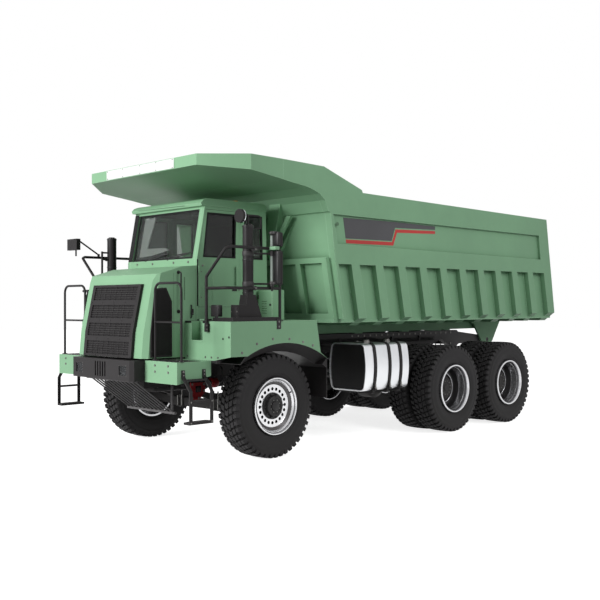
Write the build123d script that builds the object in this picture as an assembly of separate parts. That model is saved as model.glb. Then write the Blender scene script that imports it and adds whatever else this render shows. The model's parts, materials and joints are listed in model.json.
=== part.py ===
from build123d import *

import os
from math import asin, cos, degrees, hypot, radians, sin

# Mining dump truck: a rigid truck on three axles with a rock body and a canopy over the cab.
# Millimetres. X points to the truck's left, Y to its rear and Z up from the ground.
# Stations along Y are counted from the front axle; save() moves each piece so that the origin
# lies on the ground, halfway along and across the whole truck.

# Overall places
wheelbase = 3975
tandem = 1707
nose_y = -1833
tail_y = 7495
canopy_top_z = 4258
side_x = 1856
mirror_reach = 2010
mirror_plate = 125
gap = 0.3
pin_gap = 0.08
seam = 5

# Wheels
tyre_r = 746.5
tread_half = 187
tyre_half = 215
lug_count = 16
lug_depth = 32
lug_tip_share = 0.75
bead_half = 165
rim_r = 400
rim_wall = 32
rim_ring_r = 409
rim_reach = 225
front_tyre_x = 1467
rear_outer_x = 1728
rear_inner_x = 1238
hub_r = 150
spindle_r = 60
rear_spindle_r = 90
rear_bore_end = 1610
front_disc_slots = 20
axle_z = tyre_r
axle_bulb_r = 285
axle_nose = 420
axle_tube_r = 130
axle_bulb_half = 230
axle_end_x = 1600
engine_rear_y = 450

# Steering
kingpin_x = 1347
kingpin_r = 30
fist_r = 58
fist_half_z = 50
arm_pin = (0, 230)
arm_z = 655
tie_rod_r = 28

# Frame
rail_out_x = 627
rail_in_x = 527
rail_low_z, rail_top_z = 1389, 1687
front_rail_low_z, front_rail_top_z = 1130, 1400
front_rail_in_x, front_rail_out_x = 400, 500
rail_rise = (700, 1250)
rail_front_y = -1500
rail_tail = ((4980, rail_low_z), (5364, 1521), (5625, 1396), (5858, 1369), (6079, 1481), (5893, rail_top_z))
plate = 12
tow_y, tow_z, tow_r, tow_half = 6065, 1530, 26, 20

# Cab
cab_half = 866
cab_wall = 60
cab_floor_z = 1990
cab_front_y = -780
cab_rear_y = 590
sill_z = 2850
screen_top_z = 3600
screen_top_y = -640
roof_z = 3730
door_low_z = 2165
door_rear_y = 30
door_hinge_x, door_hinge_y = cab_half + 16, cab_front_y + 24
door_hinge_z = (2280, 2650)
window_low_z, window_top_z = 2880, 3530

# Hood and grille
hood_low_z = 1459
hood_bend_z = 1807
hood_corner = 66
hood_face = ((-1687, hood_low_z), (-1655, hood_bend_z), (-1500, 2530))
grille_half = 612
grille_low_z, grille_top_z = 1460, 2483

# Decks over the front wheels
deck_in_x = 876
deck_out_x = 1866
deck_top_z = 1966
deck_low_z = 1493
deck_front_y = -1000
deck_rear_y = 642
arch_r = 1600
arch_centre_z = 54
liner_drop = 124
liner_in_x = 1250
flap_y = 858
flap_low_z = 814
handrail_r = 21
handrail_x = deck_out_x - 26
handrail_y = deck_front_y - handrail_r - 8
handrail_top_z = 2974

# Bumper
bumper_low_z, bumper_top_z = 1141, 1434
bumper_end_x = 1509
bumper_mid_x = 784
bumper_front_y = -1617
bumper_back_y = -1047
bumper_back_low_z = 1229

# Tanks
tank_front_y = 1820
tank_rear_y = wheelbase - 1075
tank_in_x = 1000
tank_arm_z = (1440, 1520)

# Rock body
body_front = ((953, 3564), (1065, 2820), (1230, 1974))
headboard_curve = ((115, 3942), (315, 3919), (478, 3898), (602, 3865), (728, 3824), (834, 3738),
                   (911, 3581))
canopy_y = -1150
canopy_half = 1327
canopy_side_y = -625
canopy_low_z = 4104
canopy_joint = (-16, 3962)
body_side_wall = 116
skin = 14
floor_top_z = 1930
wear_top_z = 1940
body_low_z = 1867
floor_half = 1642
floor_front_y = 1245
rim_drop_y, rim_drop_z = 1660, 3959
body_rear_top = (7190, 3864)
body_rear_low = (7489, 2023)
rib_count = 10
rib_width = 185
rib_pitch = 563
rib_first_y = 1494
rib_lean = 0.2
rib_mid_z = 2415
rib_top_z = 2805
tail_band = (7165, 7397)
pad_stations = (1700, 3000, 4300, 5600)
beam_in_x, beam_out_x = 440, 600
beam_low_z = rail_top_z + 18

# Body hinge and hoist
hinge_y, hinge_z = 6880, 1475
hinge_pin_r = 45
hoist_x = 240
hoist_base = (3200, 1000)
hoist_eye = (4900, 1780)
hoist_barrel_r = 95
hoist_rod_r = 62
hoist_barrel_length = 1560
hoist_eye_r = 70
hoist_eye_half = 66
lug_t = 24
hoist_pin_r = 40


# Shapes that are used all over
def block(x, y, z):
    """A box from its low and high value along each axis."""
    middle = [(low + high) / 2 for low, high in (x, y, z)]
    size = [abs(high - low) for low, high in (x, y, z)]
    return Pos(*middle) * Box(*size)


def slab(outline, axis, low, high):
    """A plate across one axis, with its outline given in the two other axes in X, Y, Z order."""
    places = {"X": lambda u, v: (0, u, v), "Y": lambda u, v: (u, 0, v), "Z": lambda u, v: (u, v, 0)}
    along = {"X": Vector(1, 0, 0), "Y": Vector(0, 1, 0), "Z": Vector(0, 0, 1)}[axis]
    face = Face(Wire.make_polygon([places[axis](u, v) for u, v in outline], close=True))
    return Pos(*(along * low)) * Solid.extrude(face, along * (high - low))


def rod(start, end, radius):
    """A round bar from one point to another."""
    start, end = Vector(*start), Vector(*end)
    low = (Align.CENTER, Align.CENTER, Align.MIN)
    return Plane(origin=start, z_dir=end - start) * Cylinder(radius, (end - start).length, align=low)


def bent_tube(points, radius, bend):
    """A round tube along straight runs joined by arcs."""
    path = FilletPolyline(*points, radius=bend)
    return sweep(Plane(origin=path @ 0, z_dir=path % 0) * Circle(radius), path=path)


def turned(profile, centre, angle=360, start=0):
    """A ring about an axis along X through the centre, from an outline of (x, radius) points."""
    face = Face(Wire.make_polygon([(x, 0, r) for x, r in profile], close=True))
    ring = revolve(face, axis=Axis.X, revolution_arc=angle)
    return Pos(*centre) * Rot(start, 0, 0) * ring


def mirrored(shape):
    """The same piece on the truck's other side."""
    return mirror(shape, about=Plane.YZ)


def both(shape):
    """A piece and its mirror image."""
    return [shape, mirrored(shape)]


def union(shapes):
    """Several touching or crossing shapes as one."""
    shapes = list(shapes)
    return shapes[0].fuse(*shapes[1:]).clean() if len(shapes) > 1 else shapes[0]


def at(line, z):
    """The station where a line of (y, z) points passes a height."""
    for (y0, z0), (y1, z1) in zip(line, line[1:]):
        if min(z0, z1) <= z <= max(z0, z1):
            return y0 + (y1 - y0) * (z - z0) / (z1 - z0)
    raise ValueError("the line does not reach that height")


shift_y = -(nose_y + tail_y) / 2
pieces = {}


def save(name, *shapes):
    """Keep the solids of one node, moved to the truck's own origin."""
    solids = [solid for shape in shapes for solid in shape.solids()]
    moved = [solid.moved(Location((0, shift_y, 0))) for solid in solids]
    pieces[name] = moved[0] if len(moved) == 1 else Compound(children=moved)


# Wheels and tyres
def wheel_point(centre, across, radius, angle):
    """A point of a wheel: so far across it, so far out and so many degrees from upright."""
    x, y = centre
    return x + across, y + radius * sin(radians(angle)), axle_z + radius * cos(radians(angle))


def facet(centre, *corners):
    """A flat face of a wheel, from its corners' places across, out and round."""
    return Face(Wire.make_polygon([wheel_point(centre, *corner) for corner in corners], close=True))


def tyre(x, y):
    """A tyre of flat facets: two staggered rows of lugs, two sidewalls, and the bore that its rim fills."""
    centre = (x, y)
    step = 180 / lug_count
    root_r = tyre_r - lug_depth
    bead_r = (rim_r + gap) / cos(radians(step))
    bulge_r = (rim_r + root_r) / 2
    tip = lug_tip_share * step / 2
    tip_r = tyre_r / cos(radians(tip))
    faces = []
    for lug in range(2 * lug_count):
        middle = lug * step
        side = tread_half if lug % 2 == 0 else -tread_half
        low, high = middle - step / 2, middle + step / 2
        tooth = [(root_r, low), (tip_r, middle - tip), (tip_r, middle + tip), (root_r, high)]
        for (r0, a0), (r1, a1) in zip(tooth, tooth[1:]):
            faces.append(facet(centre, (0, r0, a0), (0, r1, a1), (side, r1, a1), (side, r0, a0)))
        for across in (0, side):
            faces.append(facet(centre, *((across, r, a) for r, a in tooth)))
        faces.append(facet(centre, (0, root_r, low), (0, root_r, high), (-side, root_r, high),
                           (-side, root_r, low)))
        before, after = middle - step, middle + step
        for end in (-1, 1):
            shoulder = [(end * tread_half, root_r, low), (end * tread_half, root_r, high)]
            if lug % 2 == 0:
                faces.append(facet(centre, *shoulder, (end * tyre_half, bulge_r, middle)))
                continue
            bulge = [(end * tyre_half, bulge_r, after), (end * tyre_half, bulge_r, before)]
            bead = [(end * bead_half, bead_r, before), (end * bead_half, bead_r, after)]
            faces.append(facet(centre, *shoulder, *bulge))
            faces.append(facet(centre, *bulge, *bead))
        if lug % 2:
            faces.append(facet(centre, (bead_half, bead_r, before), (bead_half, bead_r, after),
                               (-bead_half, bead_r, after), (-bead_half, bead_r, before)))
    return Solid(Shell(faces))


def rim_barrel(x, y, outward):
    """The rim's barrel with its ring at the outer side."""
    inner = rim_r - rim_wall
    low_lip = -bead_half
    outline = [
        (low_lip, inner),
        (rim_reach, inner),
        (rim_reach, rim_ring_r),
        (bead_half + 8, rim_ring_r),
        (bead_half + 4, rim_r),
        (low_lip, rim_r),
    ]
    return turned([(outward * u, r) for u, r in outline], (x, y, axle_z))


def front_rim(y):
    """Front rim: barrel, slotted disc and hub, with the spindle's bore."""
    disc_x, disc_t = 110, 22
    slot_mid_r, slot_long, slot_wide = 295, 90, 34
    hub_in, hub_out, bore_end = -4, 205, 115
    inner = rim_r - rim_wall
    disc = turned(
        [(disc_x, hub_r - 5), (disc_x + disc_t, hub_r - 5), (disc_x + disc_t, inner + 2),
         (disc_x, inner + 2)],
        (front_tyre_x, y, axle_z),
    )
    slot = Pos(disc_x + disc_t / 2, 0, slot_mid_r) * Box(disc_t * 2, slot_wide, slot_long)
    for turn in range(front_disc_slots):
        disc -= Pos(front_tyre_x, y, axle_z) * Rot(360 * turn / front_disc_slots, 0, 0) * slot
    hub = turned([(hub_in, 0), (hub_out, 0), (hub_out, hub_r - 40), (hub_out - 60, hub_r), (hub_in, hub_r)],
                 (front_tyre_x, y, axle_z))
    bore = rod((front_tyre_x + hub_in - 1, y, axle_z), (front_tyre_x + bore_end, y, axle_z),
               spindle_r + pin_gap)
    return union([rim_barrel(front_tyre_x, y, 1), disc, hub]) - bore


def rear_rim(y):
    """Rear twin rims on one deep hub, with the axle tube's bore."""
    middle_x = (rear_outer_x + rear_inner_x) / 2
    inner = rim_r - rim_wall
    drum_r, drum_in, drum_out = 235, 1090, 1660
    cover_r, cover_out, bore_end = 190, 1745, 1610
    flange_t, flange_off = 30, 60
    parts = [rim_barrel(rear_outer_x, y, 1), rim_barrel(rear_inner_x, y, -1)]
    for side in (-1, 1):
        low = middle_x + side * (flange_off + 105)
        parts.append(turned([(low - flange_t / 2, drum_r - 5), (low + flange_t / 2, drum_r - 5),
                             (low + flange_t / 2, inner + 2), (low - flange_t / 2, inner + 2)],
                             (0, y, axle_z)))
    parts.append(turned([(drum_in, 0), (cover_out, 0), (cover_out, cover_r - 40), (cover_out - 40, cover_r),
                         (drum_out, cover_r), (drum_out, drum_r), (drum_in, drum_r)], (0, y, axle_z)))
    bore = rod((drum_in - 1, y, axle_z), (bore_end, y, axle_z), rear_spindle_r + pin_gap)
    return union(parts) - bore


def make_wheels():
    rear_stations = {"mid": wheelbase, "rear": wheelbase + tandem}
    for side, flip in (("left", False), ("right", True)):
        put = mirrored if flip else (lambda shape: shape)
        save(f"front_tyre_{side}", put(tyre(front_tyre_x, 0)))
        save(f"front_rim_{side}", put(front_rim(0)))
        for row, y in rear_stations.items():
            save(f"{row}_tyres_{side}", put(tyre(rear_outer_x, y)), put(tyre(rear_inner_x, y)))
            save(f"{row}_rim_{side}", put(rear_rim(y)))


# Front axle and steering
def make_front_axle():
    beam_y = 75
    drop_x, drop_z, beam_h = 700, 150, 130
    outline = [
        (kingpin_x - fist_r + 12, axle_z + fist_half_z),
        (drop_x, axle_z - drop_z + beam_h),
        (-drop_x, axle_z - drop_z + beam_h),
        (-kingpin_x + fist_r - 12, axle_z + fist_half_z),
        (-kingpin_x + fist_r - 12, axle_z - fist_half_z),
        (-drop_x, axle_z - drop_z),
        (drop_x, axle_z - drop_z),
        (kingpin_x - fist_r + 12, axle_z - fist_half_z),
    ]
    beam = slab(outline, "Y", -beam_y, beam_y)
    neck = kingpin_x - fist_r - 70
    slim = [block((neck, kingpin_x), (fist_r, beam_y + 1), (0, 2 * axle_z)),
            block((neck, kingpin_x), (-beam_y - 1, -fist_r), (0, 2 * axle_z))]
    for cut in slim:
        beam = beam - cut - mirrored(cut)
    fist = rod((kingpin_x, 0, axle_z - fist_half_z), (kingpin_x, 0, axle_z + fist_half_z), fist_r)
    bore = rod((kingpin_x, 0, 0), (kingpin_x, 0, 2 * axle_z), kingpin_r + pin_gap)
    beam = union([beam, *both(fist)])
    save("front_axle", beam - bore - mirrored(bore))


def knuckle():
    """Steering knuckle: a fork round the axle's end with kingpin, spindle and steering arm."""
    ear_t, ear_gap, plate_t = 45, seam, 28
    inner_x, plate_x = kingpin_x - 55, kingpin_x + fist_r + 8
    low = axle_z - fist_half_z - ear_gap
    high = axle_z + fist_half_z + ear_gap
    ears = [block((inner_x, plate_x + 1), (-55, 55), (low - ear_t, low)),
            block((inner_x, plate_x + 1), (-55, 55), (high, high + ear_t))]
    back = block((plate_x, plate_x + plate_t), (-80, 80), (low - ear_t, high + ear_t))
    pin = rod((kingpin_x, 0, low - ear_t), (kingpin_x, 0, high + ear_t), kingpin_r)
    spindle = rod((plate_x + 5, 0, axle_z), (front_tyre_x + 105, 0, axle_z), spindle_r)
    ball = (kingpin_x + arm_pin[0], arm_pin[1])
    arm_half = 38
    arm_top = low - ear_t + 30
    arm = slab([(kingpin_x + 40, 20), (ball[0] + arm_half, ball[1] + arm_half),
                (ball[0] - arm_half, ball[1] + arm_half),
                (ball[0] - arm_half, ball[1] - 30), (kingpin_x - 55, -20), (kingpin_x + 40, -20)],
               "Z", arm_z - 30, arm_top)
    stud = rod((*ball, arm_z - 95), (*ball, arm_z), 20)
    return union([*ears, back, pin, spindle, arm, stud])


def make_steering():
    left = knuckle()
    save("knuckle_left", left)
    save("knuckle_right", mirrored(left))
    ball_x, ball_y = kingpin_x + arm_pin[0], arm_pin[1]
    eye_low, eye_high = arm_z - 90, arm_z - 30 - seam
    bar_z = (eye_low + eye_high) / 2
    bar = rod((-ball_x, ball_y, bar_z), (ball_x, ball_y, bar_z), tie_rod_r)
    eye = rod((ball_x, ball_y, eye_low), (ball_x, ball_y, eye_high), 42)
    bore = rod((ball_x, ball_y, eye_low - 20), (ball_x, ball_y, eye_high + 20), 20 + pin_gap)
    save("tie_rod", union([bar, *both(eye)]) - bore - mirrored(bore))


# Rear axles and suspension
def make_rear_axles():
    bulb_in, nose_r, tube_end = 130, 120, 1075
    axles = []
    for y in (wheelbase, wheelbase + tandem):
        tube = rod((-tube_end, y, axle_z), (tube_end, y, axle_z), axle_tube_r)
        ends = rod((-axle_end_x, y, axle_z), (axle_end_x, y, axle_z), rear_spindle_r)
        half = [(axle_bulb_half, 0), (axle_bulb_half, axle_bulb_r - 95), (bulb_in, axle_bulb_r)]
        bulb = turned(half + [(-u, r) for u, r in reversed(half)], (0, y, axle_z))
        nose = rod((0, y - axle_nose, axle_z + 60), (0, y, axle_z + 60), nose_r)
        axles.append(union([tube, ends, bulb, nose]))
    save("rear_axles", *axles)


def leaf_pack(x, half_width, centre_y, centre_z, half_length, rise, leaves, leaf_t, stack):
    """Leaf spring: a main leaf with its ends raised, and shorter ones below (stack -1) or above it (1)."""
    drop = leaf_t if stack > 0 else 0
    base_z = centre_z - drop
    plain = [(u * half_length, base_z + rise * u ** 2) for u in (-0.6, -0.3, 0, 0.3, 0.6)]
    ends = []
    for leaf in range(leaves):
        share = 1 - 0.75 * leaf / leaves
        inner = base_z + rise * share ** 2 + stack * leaf * leaf_t
        ends += [(share * half_length, inner), (share * half_length, inner + stack * leaf_t)]
    outline = plain + ends + [(-u, z) for u, z in reversed(ends)]
    return slab([(centre_y + u, z) for u, z in outline], "X", x - half_width, x + half_width)


def make_suspension():
    spring_x, half_w, reach = 450, 45, 690
    x = (spring_x - half_w, spring_x + half_w)
    axle_top = axle_z - 20
    seat_z = axle_top + 118
    leaves = leaf_pack(spring_x, half_w, 0, seat_z, reach, 200, 4, 28, -1)
    seat = block(x, (-90, 90), (axle_top, seat_z - 50))
    hangers = [block(x, (s * reach - 40, s * reach + 40), (seat_z + 150, front_rail_low_z)) for s in (-1,
                                                                                                      1)]
    save("front_springs", *both(union([leaves, seat, *hangers])))

    middle_y = wheelbase + tandem / 2
    rear_x, rear_half = 790, 60
    x = (rear_x - rear_half, rear_x + rear_half)
    pad_z = axle_z + axle_tube_r
    leaves = leaf_pack(rear_x, rear_half, middle_y, pad_z + 260, tandem / 2 + 60, -200, 6, 32, 1)
    trunnion_z = pad_z + 40
    saddle = block(x, (middle_y - 130, middle_y + 130), (trunnion_z - 60, pad_z + 240))
    pads = []
    for y in (wheelbase, wheelbase + tandem):
        pads.append(block(x, (y - 90, y + 90), (pad_z - 30, pad_z + 70)))
    trunnion = rod((-rear_x, middle_y, trunnion_z), (rear_x, middle_y, trunnion_z), 70)
    drop = block((rail_in_x, rail_out_x), (middle_y - 150, middle_y + 150), (trunnion_z - 90, rail_low_z))
    half = union([leaves, saddle, drop, *pads])
    rods = []
    for s in (-1, 1):
        for d in (-1, 1):
            start = (s * 330, middle_y + d * 60, trunnion_z - 60)
            rods.append(rod(start, (s * 330, middle_y + d * (tandem / 2 - 60), axle_z - 60), 32))
    save("rear_suspension", union([half, mirrored(half), trunnion, *rods]) - rear_axle_room())


def rear_axle_room():
    """The room that the rear axle housings take up, so that what sits on them fits round them."""
    tube_r, bulb_r, half = axle_tube_r + gap, axle_bulb_r + gap, axle_bulb_half + 1
    room = []
    for y in (wheelbase, wheelbase + tandem):
        room.append(rod((-axle_end_x, y, axle_z), (axle_end_x, y, axle_z), tube_r))
        room.append(rod((-half, y, axle_z), (half, y, axle_z), bulb_r))
    return Compound(children=room)


# Frame
def frame_rail():
    """One box rail, low under the cab and rising behind it."""
    low_a, low_b = rail_rise
    outline = [
        (rail_front_y, front_rail_low_z), (low_a, front_rail_low_z), (low_b, rail_low_z), *rail_tail,
        (low_b, rail_top_z), (low_a, front_rail_top_z), (rail_front_y, front_rail_top_z),
    ]
    lap, height = 200, (0, 2 * rail_top_z)
    behind = slab(outline, "X", rail_in_x, rail_out_x) & block((0, rail_out_x), (low_a - lap, tail_y),
                                                               height)
    ahead = slab(outline, "X", front_rail_in_x, front_rail_out_x)
    ahead &= block((0, front_rail_out_x), (nose_y, low_a), height)
    splice = block((front_rail_in_x, rail_out_x), (low_a - lap, low_a),
                   (front_rail_low_z, front_rail_top_z))
    return union([behind, ahead, splice])


def make_frame():
    parts = both(frame_rail())
    # Cross members: station, lowest and highest z, half length along Y, reach along X
    members = [
        (-1440, 1180, 1390, 50, 420), (600, 1135, 1175, 60, 420), (1400, 1420, 1660, 50, 540),
        (2300, 1420, 1660, 50, 540), (5250, 1540, 1660, 60, 540), (5900, 1400, 1660, 50, 540),
    ]
    for y, low, high, half, reach in members:
        parts.append(block((-reach, reach), (y - half, y + half), (low, high)))
    base_y, base_z = hoist_base
    parts.append(rod((-rail_in_x - 20, base_y, base_z), (rail_in_x + 20, base_y, base_z), hoist_pin_r))
    hanger = slab([(base_y - 70, base_z - 60), (base_y + 70, base_z - 60), (base_y + 160, rail_low_z + 10),
                   (base_y - 160, rail_low_z + 10)], "X", rail_in_x + 10, rail_in_x + 50)
    horn_y, horn_r = rail_tail[3][0] - 40, 75
    horn = slab([(horn_y, rail_low_z + 30), (hinge_y, hinge_z - horn_r), (hinge_y + horn_r, hinge_z),
                 (hinge_y, hinge_z + horn_r), (horn_y, rail_top_z - 20)], "X", rail_in_x + 10,
                 rail_out_x - 10)
    tow_low, tow_high = tow_z - tow_half, tow_z + tow_half
    tow_eye = slab([(-90, 5940), (90, 5940), (60, tow_y + 35), (30, tow_y + 65), (-30, tow_y + 65),
                    (-60, tow_y + 35)], "Z", tow_low, tow_high)
    parts.append(tow_eye - rod((0, tow_y, tow_low - 1), (0, tow_y, tow_high + 1), tow_r))
    cab_posts = [block((front_rail_in_x + 10, front_rail_out_x - 10), (y - 45, y + 45),
                       (front_rail_top_z - 5, cab_floor_z))
                 for y in (-650, 480)]
    beam_t, beam_w, front_z, back_z = 50, 60, deck_low_z - 100, rail_top_z + 20
    front_y, leg_x = deck_front_y + plate, 1500
    front_arm = (front_y, front_y + beam_w)
    back_arm = (deck_rear_y, deck_rear_y + beam_w)
    outriggers = [
        block((front_rail_out_x - 20, leg_x + beam_w), front_arm, (front_z, front_z + beam_t)),
        block((front_rail_out_x - 20, front_rail_out_x + beam_w), front_arm,
              (front_rail_low_z + 100, front_z + 1)),
        block((leg_x, leg_x + beam_w), front_arm, (front_z, deck_top_z - plate)),
        block((rail_out_x - beam_w, deck_out_x - plate), back_arm, (back_z, back_z + beam_t)),
        block((rail_out_x - beam_w, rail_out_x), back_arm, (front_rail_top_z - 10, back_z + 1)),
    ]
    tank_arms = [block((rail_out_x - 5, tank_in_x), (y - 40, y + 40), tank_arm_z)
                 for y in (tank_front_y + 180, tank_rear_y - 200)]
    for part in (hanger, horn, *cab_posts, *outriggers, *tank_arms):
        parts += both(part)
    pin = rod((-rail_out_x - 40, hinge_y, hinge_z), (rail_out_x + 40, hinge_y, hinge_z), hinge_pin_r)
    parts.append(pin)
    save("chassis_frame", union(parts))


def make_engine():
    save("engine_block", block((-340, 340), (-1330, engine_rear_y), (1000, 1930)))


def make_driveline():
    """Gearbox behind the engine, the shaft to the first rear axle and the one between the axles."""
    box_end, box_z, shaft_r = 1150, 1300, 50
    gearbox = block((-220, 220), (engine_rear_y + gap, box_end), (1180, 1560))
    nose_face, yoke = wheelbase - axle_nose - gap, 90
    front = union([rod((0, box_end - 5, box_z), (0, nose_face - yoke / 2, axle_z + 60), shaft_r),
                   rod((0, nose_face - yoke, axle_z + 60), (0, nose_face, axle_z + 60), shaft_r + 15)])
    between_z = axle_z + 30
    start_y = wheelbase + axle_bulb_r + gap
    rear = rod((0, start_y, between_z), (0, wheelbase + tandem - axle_nose - gap, between_z), 45)
    save("driveline", union([gearbox, front]), rear)


# Bumper, lamps and guard
def make_bumper():
    wall = plate
    outer = [(bumper_front_y, bumper_low_z), (bumper_front_y, bumper_top_z), (bumper_back_y, bumper_top_z),
             (bumper_back_y, bumper_back_low_z)]
    end = slab(outer, "X", bumper_mid_x + gap, bumper_end_x)
    room = [(bumper_front_y + wall, 0), (bumper_front_y + wall, bumper_top_z - wall),
            (0, bumper_top_z - wall), (0, 0)]
    end -= slab(room, "X", bumper_mid_x, bumper_end_x - wall)
    save("bumper_ends", *both(end))

    low, high, chamfer_y = 1152, 1435, 40
    mid = slab([(-bumper_mid_x, rail_front_y), (-bumper_mid_x, nose_y + chamfer_y),
                (-bumper_mid_x + 60, nose_y),
                (bumper_mid_x - 60, nose_y), (bumper_mid_x, nose_y + chamfer_y),
                (bumper_mid_x, rail_front_y)], "Z", low, high)
    mid -= block((-bumper_mid_x + 40, bumper_mid_x - 40), (nose_y + 90, rail_front_y - 20),
                 (low - 1, high - 30))
    lamp_x, lamp_z = (470, 650), (1215, 1365)
    lamp_room = block(lamp_x, (nose_y - 1, nose_y + 91), lamp_z)
    mid = mid - lamp_room - mirrored(lamp_room)
    slot_pitch, slot_w = 62, 30
    for step in range(-2, 3):
        mid -= block((step * slot_pitch - slot_w / 2, step * slot_pitch + slot_w / 2),
                     (nose_y - 1, nose_y + 91), (1190, 1400))
    save("bumper_centre", mid)
    lamp = block((lamp_x[0] + gap, lamp_x[1] - gap), (nose_y + 12, nose_y + 60),
                 (lamp_z[0] + gap, lamp_z[1] - gap))
    save("headlamps", *both(lamp))


def make_underguard():
    bar_count = 12
    half = 560
    top_y, top_z, low_y, low_z = -1720, 1165, -1130, 865
    bars = []
    for step in range(bar_count):
        x = -half + 2 * half * step / (bar_count - 1)
        bars.append(rod((x, top_y, top_z), (x, low_y, low_z), 15))
    cross = block((-half - 60, half + 60), (low_y - 10, low_y + 90), (low_z - 25, low_z + 15))
    stays = [block((s * 430 - 25, s * 430 + 25), (low_y + 20, low_y + 60),
                   (low_z, front_rail_low_z)) for s in (-1, 1)]
    save("underguard", union([*bars, cross, *stays]) - bumper_room())


def bumper_room():
    """The room above the bumper's underside, where the guard's bars end."""
    return block((-bumper_end_x, bumper_end_x), (nose_y - 100, rail_front_y), (1152, 1500))


# Hood and grille
def make_hood():
    rear_y = cab_front_y - gap
    outline = [*hood_face, (-1450, 2620), (-1050, 2735), (rear_y, 2757), (rear_y, hood_low_z)]
    outer = slab(outline, "X", -cab_half, cab_half)
    fronts = [edge for edge in outer.edges()
              if abs(abs(edge.center().X) - cab_half) < 1 and edge.center().Y < -1480 and edge.length > 200
              and abs(edge.tangent_at(0.5).Z) > 0.9]
    outer = chamfer(fronts, hood_corner)
    room = [(y + plate * 2, z) for y, z in outline[:3]] + [(-1435, 2598), (-1045, 2711),
                                                           (cab_front_y, 2733),
                                                          (cab_front_y, hood_low_z - 1)]
    room[0] = (room[0][0], hood_low_z - 1)
    shell = outer - slab(room, "X", -cab_half + hood_corner, cab_half - hood_corner)
    widen = [(-1600, hood_low_z - 1), (-1575, 1800), (-1420, 2520), (-1040, 2690), (cab_front_y, 2715),
             (cab_front_y, hood_low_z - 1)]
    shell -= slab(widen, "X", -cab_half + plate, cab_half - plate)
    save("hood", shell)


def make_grille():
    front = [(-1733, grille_low_z), (-1702, hood_bend_z), (-1556, grille_top_z)]
    back = [(at(hood_face, z) - gap, z) for _, z in front]
    body = slab(front + back[::-1], "X", -grille_half, grille_half)
    pocket_depth = 22
    rows = 4
    row_h = (grille_top_z - grille_low_z) / rows
    for row in range(rows):
        low = grille_low_z + row * row_h + 34
        high = grille_low_z + (row + 1) * row_h - 34
        zs = [low] + ([hood_bend_z] if low < hood_bend_z < high else []) + [high]
        outer_line = [(at(front, z) - 30, z) for z in zs]
        inner_line = [(at(front, z) + pocket_depth, z) for z in zs]
        body -= slab(outer_line + inner_line[::-1], "X", -grille_half + 70, grille_half - 70)
    side = [(-1590, 1475), (-1585, 1830), (-1530, 2300), (-1490, 2420), (-1330, 2430), (-1235, 2240),
            (-1230, 1475)]
    panel = slab(side, "X", cab_half + gap, cab_half + 14)
    save("grille", body, *both(panel))


# Cab
def pillar_line():
    return [(cab_front_y, cab_floor_z), (cab_front_y, sill_z), (screen_top_y, screen_top_z)]


def cab_side_outline():
    roof_low = screen_top_z + 20
    top_y = screen_top_y + (screen_top_y - cab_front_y) * 20 / (screen_top_z - sill_z)
    return [(cab_front_y, cab_floor_z), (cab_front_y, sill_z), (top_y, roof_low),
            (cab_rear_y - 40, roof_low),
            (cab_rear_y, cab_floor_z)]


def door_outline(grow=0):
    """The door's outline, or with grow the hole that it closes."""
    front = cab_front_y + 26
    slope_y = screen_top_y + 28
    top = screen_top_z - 30
    return [(front - grow, door_low_z - grow), (front - grow, sill_z), (slope_y - grow, top + grow),
            (door_rear_y + grow, top + grow), (door_rear_y + grow, door_low_z - grow)]


def window_outline(grow=0):
    return [(-670 - grow, window_low_z - grow), (-590 - grow, window_top_z + grow),
            (-46 + grow, window_top_z + grow),
            (-60 + grow, window_low_z - grow)]


def pane(line, low, high, thick):
    """The outline of a pane of glass that follows a leaning line between two heights."""
    return [(at(line, low), low), (at(line, high), high), (at(line, high) + thick, high),
            (at(line, low) + thick, low)]


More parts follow.
